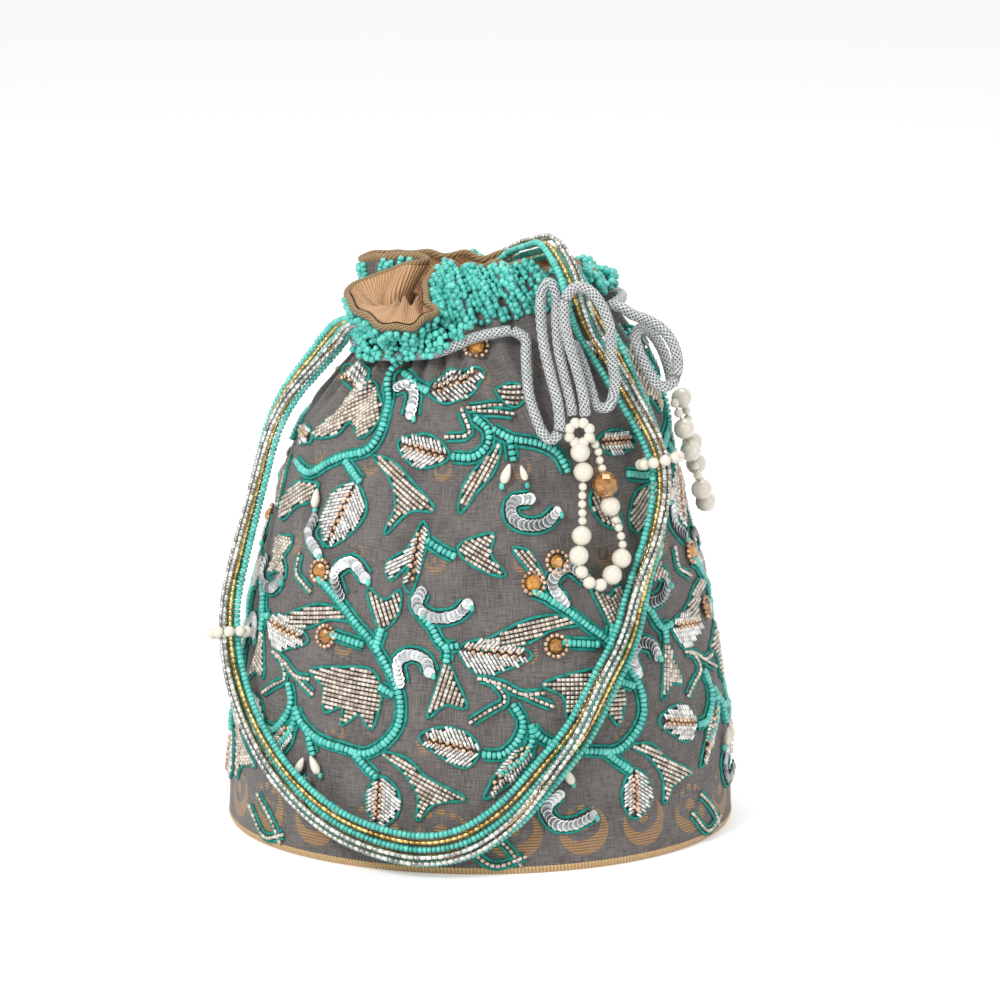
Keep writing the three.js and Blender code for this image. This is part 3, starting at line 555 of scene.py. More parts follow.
def make_piece(name: str, points: Array, faces: Array, finish: Finish, nodes: tuple = (),
               corner_flat: Array | None = None, tint: Array | None = None, cut: bool = False,
               weld: bool = False) -> object:
    """Writes one mesh piece and ties it to the bag.

    Args:
        name: the piece's name.
        points: its points, in millimetres.
        faces: triangles or quads, one row each.
        finish: its finish.
        nodes: the solids it stands for.
        corner_flat: the lengths that a pattern follows, one row for each corner of each face.
        tint: one number for each face, a random tone; on cut stones also each facet's painted light and shade.
        cut: True for cut facets.
        weld: True to join the points of a pole.

    Returns:
        The new object.
    """
    mesh = bpy.data.meshes.new(name)
    sides = faces.shape[1]
    mesh.vertices.add(len(points))
    mesh.vertices.foreach_set("co", (points * METRES).astype(np.float32).ravel())
    mesh.loops.add(faces.size)
    mesh.loops.foreach_set("vertex_index", faces.astype(np.int32).ravel())
    mesh.polygons.add(len(faces))
    mesh.polygons.foreach_set("loop_start", np.arange(0, faces.size, sides, dtype=np.int32))
    mesh.polygons.foreach_set("use_smooth", np.full(len(faces), not cut))
    mesh.update(calc_edges=True)
    if corner_flat is not None:
        layer = mesh.attributes.new("flat", "FLOAT_VECTOR", "CORNER")
        layer.data.foreach_set("vector", corner_flat.astype(np.float32).ravel())
    # Random tone per face, and on cut stones painted light and shade per facet.
    if tint is not None:
        layer = mesh.attributes.new("tint", "FLOAT", "FACE")
        layer.data.foreach_set("value", tint.astype(np.float32).ravel())
    if weld:
        work = bmesh.new()
        work.from_mesh(mesh)
        bmesh.ops.remove_doubles(work, verts=work.verts, dist=1e-6)
        work.to_mesh(mesh)
        work.free()
    mesh.materials.append(finish.material())
    piece = bpy.data.objects.new(name, mesh)
    bpy.context.scene.collection.objects.link(piece)
    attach(piece, "root")
    if nodes:
        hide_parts(*nodes)
    LOG.info("%s: %d points, %d faces", name, len(points), len(faces))
    return piece


def grid_faces(rows: int, columns: int, closed: bool) -> Array:
    """Quads of a grid of rows by columns, which face the side that rows crossed with columns points away from."""
    i, j = np.meshgrid(np.arange(rows - 1), np.arange(columns if closed else columns - 1), indexing="ij")
    k = (j + 1) % columns
    low, high = i * columns, (i + 1) * columns
    return np.stack([low + j, low + k, high + k, high + j], -1).reshape(-1, 4)


def revolved(profile: list, sides: int) -> tuple:
    """Closed bead turned about its own x axis.

    Args:
        profile: rows of (x, radius), from one end to the other, in bead sizes: length 1 and radius 1.
        sides: how many sides round.

    Returns:
        Its points and its triangles.
    """
    turn = 2 * np.pi * np.arange(sides) / sides
    rings = [np.stack([np.full(sides, x), r * np.cos(turn), r * np.sin(turn)], 1) for x, r in profile]
    points = np.vstack([*rings, [[profile[0][0], 0, 0]], [[profile[-1][0], 0, 0]]])
    j = np.arange(sides)
    k = (j + 1) % sides
    faces = []
    for ring in range(len(profile) - 1):
        low, high = ring * sides, (ring + 1) * sides
        faces += [np.stack([low + j, low + k, high + j], 1), np.stack([low + k, high + k, high + j], 1)]
    start, end, last = len(points) - 2, len(points) - 1, (len(profile) - 1) * sides
    faces += [np.stack([np.full(sides, start), k, j], 1), np.stack([np.full(sides, end), last + j, last + k], 1)]
    return points, np.vstack(faces)


def ball(rows: int, sides: int, taper: float = 0.0) -> tuple:
    """Round bead, drawn out towards its end by the taper."""
    angles = np.linspace(0, np.pi, rows + 1)[1:-1]
    profile = [(-0.5 * math.cos(a), math.sin(a) * (1 - taper * (0.5 - 0.5 * math.cos(a)))) for a in angles]
    points, faces = revolved(profile, sides)
    points[-2:, 0] = (-0.5, 0.5)
    return points, faces


class Shape(Enum):
    """Kinds of bead."""

    SEED = "round-edged ring of glass"
    BUGLE = "short glass tube"
    CUT = "short cut tube"
    PEARL = "round pearl"
    DROP = "pearl drop"
    SEQUIN = "cupped disc"
    FACETED = "flat-backed cut stone"
    CRYSTAL = "cut ball"


TEMPLATES = {
    Shape.SEED: revolved([(-0.5, 0.45), (-0.34, 0.93), (0.34, 0.93), (0.5, 0.45)], 7),
    Shape.BUGLE: revolved([(-0.5, 0.7), (-0.36, 1.0), (0.36, 1.0), (0.5, 0.7)], 5),
    Shape.CUT: revolved([(-0.5, 0.85), (0.5, 0.85)], 5),
    Shape.PEARL: ball(9, 14),
    Shape.DROP: ball(9, 12, 0.55),
    Shape.SEQUIN: revolved([(-0.3, 0.16), (-0.2, 0.66), (0.3, 1.0), (0.42, 0.97), (0.0, 0.62), (-0.1, 0.16)], 10),
    Shape.FACETED: revolved([(-0.5, 0.95), (-0.1, 1.0), (0.5, 0.56)], 8),
    Shape.CRYSTAL: ball(7, 10),
}


@dataclass
class Beads:
    """A layer of like beads: centres, directions of the hole, outward directions and sizes."""

    name: str
    shape: Shape
    finish: Finish
    slot: str
    centres: Array
    along: Array
    out: Array
    sizes: Array
    # How far each facet's painted light and shade strays from its stone's tone, on cut stones.
    facet_light_spread: float = 0.7

    def build(self, nodes: tuple = (), cut: bool = False) -> object:
        """Writes all the beads as one piece. Sizes are (length, width, height) of each bead."""
        points, faces = TEMPLATES[self.shape]
        along = unit(self.along)
        out = unit(self.out - along * np.sum(self.out * along, axis=1, keepdims=True))
        side = np.cross(out, along)
        sizes = np.broadcast_to(self.sizes, self.centres.shape)
        scaled = points[None] * (sizes * (1, 0.5, 0.5))[:, None]
        placed = (self.centres[:, None] + scaled[..., :1] * along[:, None] + scaled[..., 1:2] * side[:, None]
                  + scaled[..., 2:] * out[:, None])
        count = len(self.centres)
        index = (faces[None] + len(points) * np.arange(count)[:, None, None]).reshape(-1, 3)
        tint = np.repeat(RNG.random(count), len(faces))
        # On cut stones each facet gets its own random value: painted light and shade on the facets.
        if cut:
            tint = np.clip(tint + self.facet_light_spread * (RNG.random(len(tint)) - 0.5), 0, 1)
        return make_piece(self.name, placed.reshape(-1, 3), index, self.finish, nodes, tint=tint, cut=cut)


def tubes(paths: list, ups: list, width: float, height: float, sides: int, closed: bool) -> tuple:
    """Merged tubes along several paths.

    Args:
        paths: the points of each path.
        ups: the outward direction at each of those points.
        width: size across the surface.
        height: size away from it.
        sides: how many sides round.
        closed: True where each path is a loop.

    Returns:
        Points, quads, and each corner's turn and length along its path.
    """
    points, faces, corners, start = [], [], [], 0
    turn = 2 * np.pi * np.arange(sides) / sides
    for path, up in zip(paths, ups):
        ahead = unit(np.roll(path, -1, 0) - np.roll(path, 1, 0)) if closed else tangents(path)
        side = unit(np.cross(up, ahead))
        over = np.cross(ahead, side)
        ring = (side[:, None] * (0.5 * width * np.cos(turn))[None, :, None]
                + over[:, None] * (0.5 * height * np.sin(turn))[None, :, None])
        points.append((path[:, None] + ring).reshape(-1, 3))
        rows = len(path) + (1 if closed else 0)
        quads = grid_faces(rows, sides, True)
        spacing = path_length(path) / (len(path) - 1)
        around, along = np.meshgrid(np.arange(sides + 1) / sides, np.arange(rows) * spacing)
        flat = np.stack([around, along, 0 * around], -1).reshape(-1, 3)[grid_faces(rows, sides + 1, False)]
        if not closed:
            i = np.arange(sides // 2 - 1)
            last = (len(path) - 1) * sides
            cap = np.stack([i, sides - 1 - i, sides - 2 - i, i + 1], 1)
            quads = np.vstack([quads, cap, last + cap[:, ::-1]])
            flat = np.concatenate([flat, np.zeros((2 * len(i), 4, 3))])
        faces.append(quads % (len(path) * sides) + start)
        start += len(path) * sides
        corners.append(flat.reshape(-1, 3))
    return np.vstack(points), np.vstack(faces), np.vstack(corners)


class Studio:
    """Camera, lights and floor. Lengths are metres."""

    target = (0.0076, 0.0, 0.1237)
    elevation, distance, focal, clip_end = 14.0, 2.5, 236.8, 20
    lights = (("key", (-0.75, -1.0, 1.1), 0.4, 15.0), ("fill", (1.1, -0.9, 0.5), 0.9, 3.5),
              ("top", (0.1, 0.3, 1.4), 0.7, 6.0))
    floor_reach, paper = 6.0, (0.9, 0.9, 0.9)

    def build(self) -> None:
        """Sets the camera at the photograph's angle, pale surroundings and soft lights."""
        tilt = math.radians(self.elevation)
        camera = bpy.data.objects.new("camera", bpy.data.cameras.new("camera"))
        camera.data.lens, camera.data.clip_end = self.focal, self.clip_end
        camera.location = (self.target[0], -self.distance * math.cos(tilt),
                           self.target[2] + self.distance * math.sin(tilt))
        camera.rotation_euler = (math.pi / 2 - tilt, 0, 0)
        scene = bpy.context.scene
        scene.collection.objects.link(camera)
        scene.camera = camera
        scene.view_settings.view_transform = "Standard"
        scene.world = scene.world or bpy.data.worlds.new("world")
        surroundings = Graph(scene.world)
        background = surroundings.nodes["Background"].inputs
        surroundings.put(background[0], (1, 1, 1))
        surroundings.put(background[1], surroundings.seen(0.42, 0.58))
        for name, place, size, power in self.lights:
            light = bpy.data.objects.new(name, bpy.data.lights.new(name, "AREA"))
            light.data.size, light.data.energy = size, power
            light.location = place
            light.rotation_euler = (Vector(self.target) - Vector(place)).to_track_quat("-Z", "Y").to_euler()
            scene.collection.objects.link(light)
        mesh = bpy.data.meshes.new("floor")
        corners = [(x * self.floor_reach, y * self.floor_reach, 0) for x, y in ((-1, -1), (1, -1), (1, 1), (-1, 1))]
        mesh.from_pydata(corners, [], [(0, 1, 2, 3)])
        floor = bpy.data.objects.new("floor", mesh)
        graph = Graph(bpy.data.materials.new("floor_paper"))
        graph.set(Base_Color=self.paper, Roughness=0.8, Emission_Color=(1, 1, 1),
                  Emission_Strength=graph.seen(0.3, 0.0))
        mesh.materials.append(graph.owner)
        scene.collection.objects.link(floor)
        LOG.info("studio: camera %.1f mm at %.2f m", self.focal, self.distance)


STRAND_BEADS = {
    "turquoise": (2.7, 1.75, Shape.SEED, TURQUOISE),
    "gold": (1.8, 2.3, Shape.BUGLE, GOLD),
    "silver": (1.8, 2.3, Shape.BUGLE, STEEL),
}
TIE_LEFT, TIE_RIGHT = 0.212, 0.756
SHARES = (0, TIE_LEFT, 0.4, 0.6, 0.7, TIE_RIGHT, 0.84, 0.93, 1)
TOP_SHARES = (0, TIE_LEFT, 0.38, 0.48, 0.62, TIE_RIGHT, 0.84, 0.93, 1)
FLUSH = (0, 0, 0, 0, 0, 0, 0, 0, 0)
RAISED = (0, 2.2, 0, 0, 1.6, 2.2, 1, 1, 2.2)
ON_TOP = (3.1, 4.5, 3.2, 3.2, 3.2, 4.5, 4.2, 4.2, 4.5)


@dataclass(frozen=True)
class Strand:
    """One strand of the handle: its kind of bead, and its place beside the handle's middle line.

    At each share of the length, it has a distance inwards of the loop and a distance away from the bag.
    """

    kind: str
    place: str
    inwards: tuple
    away: tuple = FLUSH
    shares: tuple = SHARES


class Handle:
    """The looped handle of limp beaded strands, drawn together by two rings of pearls."""

    over_cloth = (
        (-88, 195.5, 13), (-87, 190, 15), (-85, 182, 15.5), (-83, 170, 14), (-81, 155, 12), (-78, 131, 10.5),
        (-76, 108, 11), (-74, 90, 11.5), (-70, 72, 9.5), (-62, 55, 7.5), (-53, 40, 6), (-43, 28, 6), (-32, 18, 6),
        (-21, 12.5, 6), (-11, 11, 6), (-2, 15, 6), (7, 26, 6), (14, 39, 6), (22, 54, 6), (29, 71, 6), (36, 86, 6),
        (42, 104, 6), (49, 123, 8.5), (52.5, 142, 11), (52, 154, 10.5), (49, 167, 8.5), (46, 180, 8.5),
        (43, 191, 10.5),
    )
    over_ruff = ((39, -34, 204), (35.5, -28.5, 213.5), (30, -18, 221.5), (23, -6, 225), (15, 3, 222.5), (8, 7, 215),
                 (4, 8, 206))
    strands = (
        Strand("turquoise", "outer", (-5, -3.3, -5.2, -5.2, -4, -3.3, -6.4, -6.4, -3.3)),
        Strand("gold", "outer", (-2.4, -1.7, -2.6, -2.6, -1.9, -1.7, -3.2, -3.2, -1.7), RAISED),
        Strand("turquoise", "middle", (0.2, 0, 0, 0, 0, 0, 0, 0, 0)),
        Strand("gold", "inner", (2.8, 1.7, 2.7, 2.7, 1.9, 1.7, 3.2, 3.2, 1.7), RAISED),
        Strand("turquoise", "inner", (5.4, 3.3, 5.4, 5.4, 4, 3.3, 6.4, 6.4, 3.3)),
        Strand("silver", "outer", (3.5, -1.2, -4, -4, 1.6, -1.2, 0.3, 0.3, -1.2), ON_TOP, TOP_SHARES),
        Strand("silver", "inner", (6, 1.2, -1.6, -1.6, 4, 1.2, 3.4, 3.4, 1.2), ON_TOP, TOP_SHARES),
    )
    roots = (((-44, -19, 198.5), 0.45), ((-51, -9, 193.5), 0.75))
    settle, settle_shares, lift_share, lift_shares = 5.0, (0.925, 0.955), 0.4, (0.975, 1)
    steps, wobble, bead_share = 56, 0.05, 0.98
    layer_back, layer_top, layer_turn = 45.0, 195.0, 15.0
    tie_pearls, tie_pearl, tie_lift, tie_slack = 10, 4.3, 1.6, 0.8
    tie_across, tie_up = 3.3 + 2.7 / 2, 4.5 + 1.8 / 2

    def __init__(self) -> None:
        self.middle = curve_through(np.vstack([Bag.on(*np.transpose(self.over_cloth)), self.over_ruff]), 0.5)

    def frames(self, shares: Array) -> tuple:
        """Middle point, direction away from the bag and direction inwards at each share of the length."""
        rows = np.arange(len(self.middle))

        def read(values: Array) -> Array:
            return np.stack([np.interp(shares * rows[-1], rows, values[:, k]) for k in range(3)], 1)

        middle, forwards = read(self.middle), unit(read(tangents(self.middle)))
        back = self.layer_back * (1 - smooth(middle[:, 2], self.layer_top, self.layer_top + self.layer_turn))
        line = np.stack([0 * back, back, np.minimum(middle[:, 2], self.layer_top)], 1)
        away = middle - line
        away = unit(away - forwards * np.sum(away * forwards, axis=1, keepdims=True))
        return middle, away, np.cross(away, forwards)

    def path(self, item: Strand, spacing: float) -> Array:
        """Points along one strand."""
        shares = np.linspace(0, 1, self.steps + 1)
        middle, away, inwards = self.frames(shares)
        rows = np.stack([item.shares, item.inwards, item.away], 1)
        offset = inwards * hermite(rows, 1, shares)[:, None] + away * hermite(rows, 2, shares)[:, None]
        points = middle + offset
        settled = smooth(shares, *self.settle_shares) * (1 - self.lift_share * smooth(shares, *self.lift_shares))
        points[:, 2] -= self.settle * settled
        root = [place + share * offset[0] for place, share in self.roots]
        return curve_through(np.vstack([root, points]), spacing)

    def tie(self, side: str, share: float) -> object:
        """Ring of small pearls round the strands."""
        middle, away, inwards = (value[0] for value in self.frames(np.array([share])))
        across = self.tie_across + self.tie_slack + self.tie_pearl / 2
        up = self.tie_up - self.tie_lift + self.tie_slack + self.tie_pearl / 2
        turn = 2 * np.pi * np.arange(self.tie_pearls)[:, None] / self.tie_pearls
        centres = middle + away * self.tie_lift + across * np.cos(turn) * inwards + up * np.sin(turn) * away
        along = np.roll(centres, -1, 0) - np.roll(centres, 1, 0)
        out = centres - middle
        sizes = np.full((self.tie_pearls, 3), self.tie_pearl)
        ring = Beads(f"tie_pearls_{side}", Shape.PEARL, PEARL, "pearls", centres, along, out, sizes)
        return ring.build((f"strand_tie_{side}",))

    def build(self) -> None:
        """Makes the ties, then the strands."""
        ties = [self.tie("left", TIE_LEFT), self.tie("right", TIE_RIGHT)]
        for item in self.strands:
            diameter, bead_length, shape, finish = STRAND_BEADS[item.kind]
            path = self.path(item, bead_length)
            ahead = tangents(path)
            wobble = np.broadcast_to(RNG.normal(0, self.wobble, (len(path), 1)), path.shape)
            out = np.cross(ahead, (0.3, 0.2, 1.0))
            sizes = np.array([bead_length * self.bead_share, diameter, diameter]) * (1 + wobble)
            name = f"strand_{item.kind}_{item.place}"
            piece = Beads(f"{name}_beads", shape, finish, f"{item.kind}_beads", path, ahead, out,
                          sizes).build((name,))


class Drawstring:
    """The knitted silver drawstring and the pearl tassels at its ends."""

    diameter, step, sides = 4.2, 0.7, 14
    relief_lay, relief_strands, relief_low, relief_depth = 3.4, 4, 0.93, 0.09
    ring_reach, ring_drop, ring_dip = 5.3, 2.5, 4.6
    front = (
        (17, -34.5, 194), (17.3, -38, 189), (17.6, -41.5, 183), (18.3, -45.5, 176), (20.5, -50, 169),
        (23.5, -53.5, 162.5), (26.5, -54.5, 160.3), (29.4, -54, 163.5), (29, -51.2, 173), (26.6, -46.5, 182),
        (24, -41.5, 192.6), (22.8, -36.5, 203.5), (23.2, -33, 211), (25.8, -31.5, 215), (28.4, -33.5, 211),
        (28.6, -38, 201.5), (29.4, -42, 192), (31.6, -46, 182), (33.8, -49.8, 173.5), (34.6, -51, 168.6),
    )
    loop = (
        (39.2, -51.5, 168.6), (38.6, -50.5, 175), (36.4, -46.8, 184), (33.2, -45.2, 195), (31.4, -44, 204.6),
        (32.2, -42.6, 211.5), (36, -42, 215.5), (41, -42.5, 214), (45.5, -43.5, 208), (48.4, -44.5, 200),
        (49, -44, 189.5), (50.2, -47, 179), (47.8, -49.5, 171.8), (43.8, -48, 171.5), (41, -43.5, 178),
        (38, -38.8, 186.5), (35, -34, 192.5),
    )
    back = (
        (49.4, -17.5, 203.2), (53, -20.5, 203), (57.5, -22, 200.5), (61.5, -23, 199.3), (68, -26, 196.2),
        (72.4, -28.5, 190.5), (74, -30.5, 183.2), (72, -32, 176.8), (67.5, -33, 175.6), (63, -32, 180.9),
        (59.5, -30, 188.2), (58.2, -25, 193), (60.6, -19.5, 195), (64.5, -16, 192), (68.3, -14.5, 186),
        (71, -15, 178.5), (72.5, -17, 171.5),
    )
    small, middle, big, amber, thread = 3.4, 5.2, 8.0, 10.0, 0.7
    front_ring, front_ring_reach, front_ring_pearl, front_ring_count = (37, -53, 162.6), 4.0, 4.2, 8
    front_start, front_end = (36.5, -53, 158.9), (40.7, -53, 161.2)
    front_loop = (
        (28.5, 149, 7.5), (27.5, 138, 7.5), (27, 129, 7.5), (26, 122, 7.5), (25, 116, 7.5), (26.5, 110, 7.5),
        (29, 107, 7.5), (32.5, 109, 7.5), (36, 113, 7.5), (38, 118, 7.5), (38, 125, 7.5), (36.5, 132, 7.5),
        (34.5, 140, 8.5), (35, 146, 7.5), (34, 150, 7.5), (33, 155, 8.5),
    )
    front_pearls = ([big] * 2 + [small] * 5 + [big] * 2 + [middle] * 3 + [big] * 2 + [small] * 4 + [big, amber]
                    + [small] * 5)
    rear_loop = (
        (74, 163, 7.5), (77, 154, 8), (80, 145, 8), (83, 136, 8), (86, 128, 8), (90, 123, 8), (95, 125, 8),
        (97, 132, 8), (95, 141, 8), (92, 150, 8), (88, 158, 8), (82, 164, 8),
    )
    rear_pearls = [small] * 2 + [big] * 2 + [small] * 2 + [big] * 2 + [small] * 2 + [big] * 2 + [small] * 3 + [big]

    def cord(self, name: str, route: Array) -> None:
        """One stretch of knitted cord."""
        path = curve_through(route, self.step)
        points, faces, flat = tubes([path], [np.cross(tangents(path), (0.31, 0.22, 0.93))], self.diameter,
                                    self.diameter, self.sides, False)
        around, along = np.meshgrid(np.arange(self.sides) / self.sides, self.step * np.arange(len(path)))
        one = np.sin(2 * np.pi * (self.relief_strands * around + along / self.relief_lay))
        two = np.sin(2 * np.pi * (self.relief_strands * around - along / self.relief_lay))
        centres = np.repeat(path, self.sides, axis=0)
        swell = self.relief_low + self.relief_depth * np.maximum(one, two)
        points = centres + (points - centres) * swell.reshape(-1, 1)
        # The cord's finish paints shade into the gaps between its strands.
        piece = make_piece(f"{name}_braid", points, faces, SILVER_CORD, (name,), corner_flat=flat)

    def threaded(self, name: str, route: Array, diameters: list, extra: Array) -> list:
        """Pearls threaded along a route that they fill, an amber crystal among them, and the thread."""
        path = curve_through(route, 0.25)
        sizes = np.array(diameters)
        shares = (np.cumsum(sizes) - sizes / 2) / sizes.sum()
        rows = np.round(shares * (len(path) - 1)).astype(int)
        centres, ahead = path[rows], tangents(path)[rows]
        stone = sizes == self.amber
        fit = path_length(path) / sizes.sum()
        pearls = np.vstack([centres[~stone], extra])
        widths = np.concatenate([sizes[~stone] * min(fit, 1.0), np.full(len(extra), self.front_ring_pearl)])
        directions = np.vstack([ahead[~stone], np.tile((0.2, 0.1, 1.0), (len(extra), 1))])
        facing = (0.1, -1.0, 0.2)
        out = np.tile(facing, (len(pearls), 1))
        made = [Beads(f"{name}_pearls", Shape.PEARL, PEARL, "pearls", pearls, directions, out,
                      np.repeat(widths[:, None], 3, axis=1)).build((name,))]
        if stone.any():
            made.append(Beads(f"{name}_crystal", Shape.CRYSTAL, STONE, "pearls", centres[stone], ahead[stone],
                              out[:stone.sum()], np.full((stone.sum(), 3), self.amber)).build(cut=True))
        line = path[::6]
        points, faces, flat = tubes([line], [np.tile(facing, (len(line), 1))], self.thread, self.thread, 6, False)
        # The tassel thread wears the braid's finish, with its painted shade between the strands.
        made.append(make_piece(f"{name}_thread", points, faces, SILVER_CORD, corner_flat=flat))
        return made

    def build(self) -> None:
        """Makes the tassels, then the four stretches of the drawstring that carry them."""
        turn = 2 * np.pi * (np.arange(self.front_ring_count) + 0.5) / self.front_ring_count
        ring = self.front_ring + self.front_ring_reach * np.stack([np.sin(turn), 0 * turn, -np.cos(turn)], 1)
        route = np.vstack([self.front_start, Bag.on(*np.transpose(self.front_loop)), self.front_end])
        front = self.threaded("tassel_front", route, self.front_pearls, ring)
        rear = self.threaded("tassel_rear", Bag.on(*np.transpose(self.rear_loop)), self.rear_pearls, np.empty((0, 3)))
        angles = np.linspace(10, -292, 40)
        neck = Bag.on(angles, NECK_HEIGHT - self.ring_drop - self.dip(angles), self.ring_reach)
        self.cord("drawstring_neck", neck)
        self.cord("drawstring_front", np.vstack([neck[0] + (0.8, 0, 0), self.front]))
        self.cord("drawstring_loop", np.array(self.loop))
        past = neck[-1] + 0.8 * unit(neck[-1] - neck[-2])
        self.cord("drawstring_back", np.vstack([past, self.back]))

    @classmethod
    def dip(cls, angle: Array) -> Array:
        """How far the cord round the neck sags under the ruff's lobe."""
        return cls.ring_dip * smooth(angle, -85, -58) * (1 - smooth(angle, -25, 0))


class Cloth:
    """Outer cloth, binding of the rim, lining and base."""

    columns, base_columns, rim_steps = 432, 288, 720
    body_rows, ruff_rows, lining_rows = 96, 22, 40
    front_thread, girth, ruff_length, floor_length = 0.25, 560, 22, 90
    floor_shares = (0, 0.5, 0.97)
    lining_floor, corner, rolled_edge = 6.0, 1.4, ((0.5, 1.9), (0.6, 2.6), (0.1, 3.0), (-0.8, 2.7))
    binding_width, binding_height, binding_stripes = 3.5, 2.5, 9.0

    def threads(self) -> Array:
        """The columns' places round the bag, from the seam at the back."""
        return BACK_SEAM + np.arange(self.columns + 1) / self.columns

    def sheet(self, name: str, levels: Array, distance: Array, inward: bool, finish: Finish,
              nodes: tuple) -> None:
        """One skin of cloth over all columns and the given levels."""
        u, level = np.meshgrid(self.threads(), levels)
        reach = np.broadcast_to(distance[:, None], u.shape)
        points = (Bag.cloth(u, level) + Bag.outward(u, level) * reach[..., None])[:, :-1]
        height = np.minimum(level, 1) * NECK_HEIGHT + np.clip(level - 1, 0, 1) * self.ruff_length
        flat = np.stack([(u - self.front_thread) * self.girth, height, 0 * u], -1)
        if inward:
            middle, shares = points[0].mean(axis=0), self.floor_shares
            points = np.concatenate([[middle + (points[0] - middle) * share for share in shares], points])
            flat = np.concatenate([[flat[0] - (0, self.floor_length * (1 - share), 0) for share in shares], flat])
        faces = grid_faces(len(points), self.columns, True)
        corners = grid_faces(len(points), self.columns + 1, False)
        if not inward:
            faces, corners = faces[:, ::-1], corners[:, ::-1]
        make_piece(name, points.reshape(-1, 3), faces, finish, nodes,
                   corner_flat=flat.reshape(-1, 3)[corners].reshape(-1, 3), weld=inward)

    def build(self) -> None:
        """Makes the four pieces of cloth."""
        body = np.linspace(HEM_HEIGHT / NECK_HEIGHT, 1, self.body_rows)
        ruff = np.linspace(1, 2, self.ruff_rows)[1:]
        levels = np.concatenate([body, ruff])
        self.sheet("outer_cloth", levels, 0 * levels, False, BROCADE, ("outer_shell", "ruff"))
        inner = np.concatenate([np.linspace(self.lining_floor / NECK_HEIGHT, 1, self.lining_rows), ruff])
        self.sheet("lining_cloth", inner, -Bag.lining_distance(inner), True, SATIN, ("lining",))
        u = np.arange(self.rim_steps) / self.rim_steps
        rim = Bag.cloth(u, 2.0, -0.5 * (SHELL_WALL + LINING_GAP))
        points, faces, flat = tubes([rim], [Bag.outward(u, np.full_like(u, 2.0))], self.binding_width,
                                    self.binding_height, 10, True)
        flat[:, 0] *= self.binding_stripes
        make_piece("rim_binding", points, faces, BINDING, corner_flat=flat)
        self.base()

    def base(self) -> None:
        """Gold cover of the base: a flat underside, a rounded corner and a low rim with a rolled edge."""
        half_width, share, corner = STATIONS[0, 1], STATIONS[0, 2], self.corner
        rows = [(half_width * r, 0.0) for r in self.floor_shares]
        rows += [(half_width - corner + corner * math.sin(a), corner - corner * math.cos(a))
                 for a in np.linspace(0, np.pi / 2, 5)]
        rows += [(half_width + out, up) for out, up in self.rolled_edge]
        radius, height = np.array(rows).T[:, :, None]
        columns = self.base_columns
        turn = 2 * np.pi * np.arange(columns + 1) / columns
        grid = np.stack([radius * np.sin(turn), -radius * share * np.cos(turn), height + 0 * turn], -1)
        lengths = np.stack([self.floor_length * turn + 0 * radius, radius + height + 0 * turn, 0 * grid[..., 0]], -1)
        corners = grid_faces(len(rows), columns + 1, False)
        make_piece("base_cloth", grid[:, :-1].reshape(-1, 3), grid_faces(len(rows), columns, True), BASE_CLOTH,
                   ("base_cover",), weld=True,
                   corner_flat=lengths.reshape(-1, 3)[corners].reshape(-1, 3))
        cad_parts["base_board"].material_slots[0].material = BOARD.material()


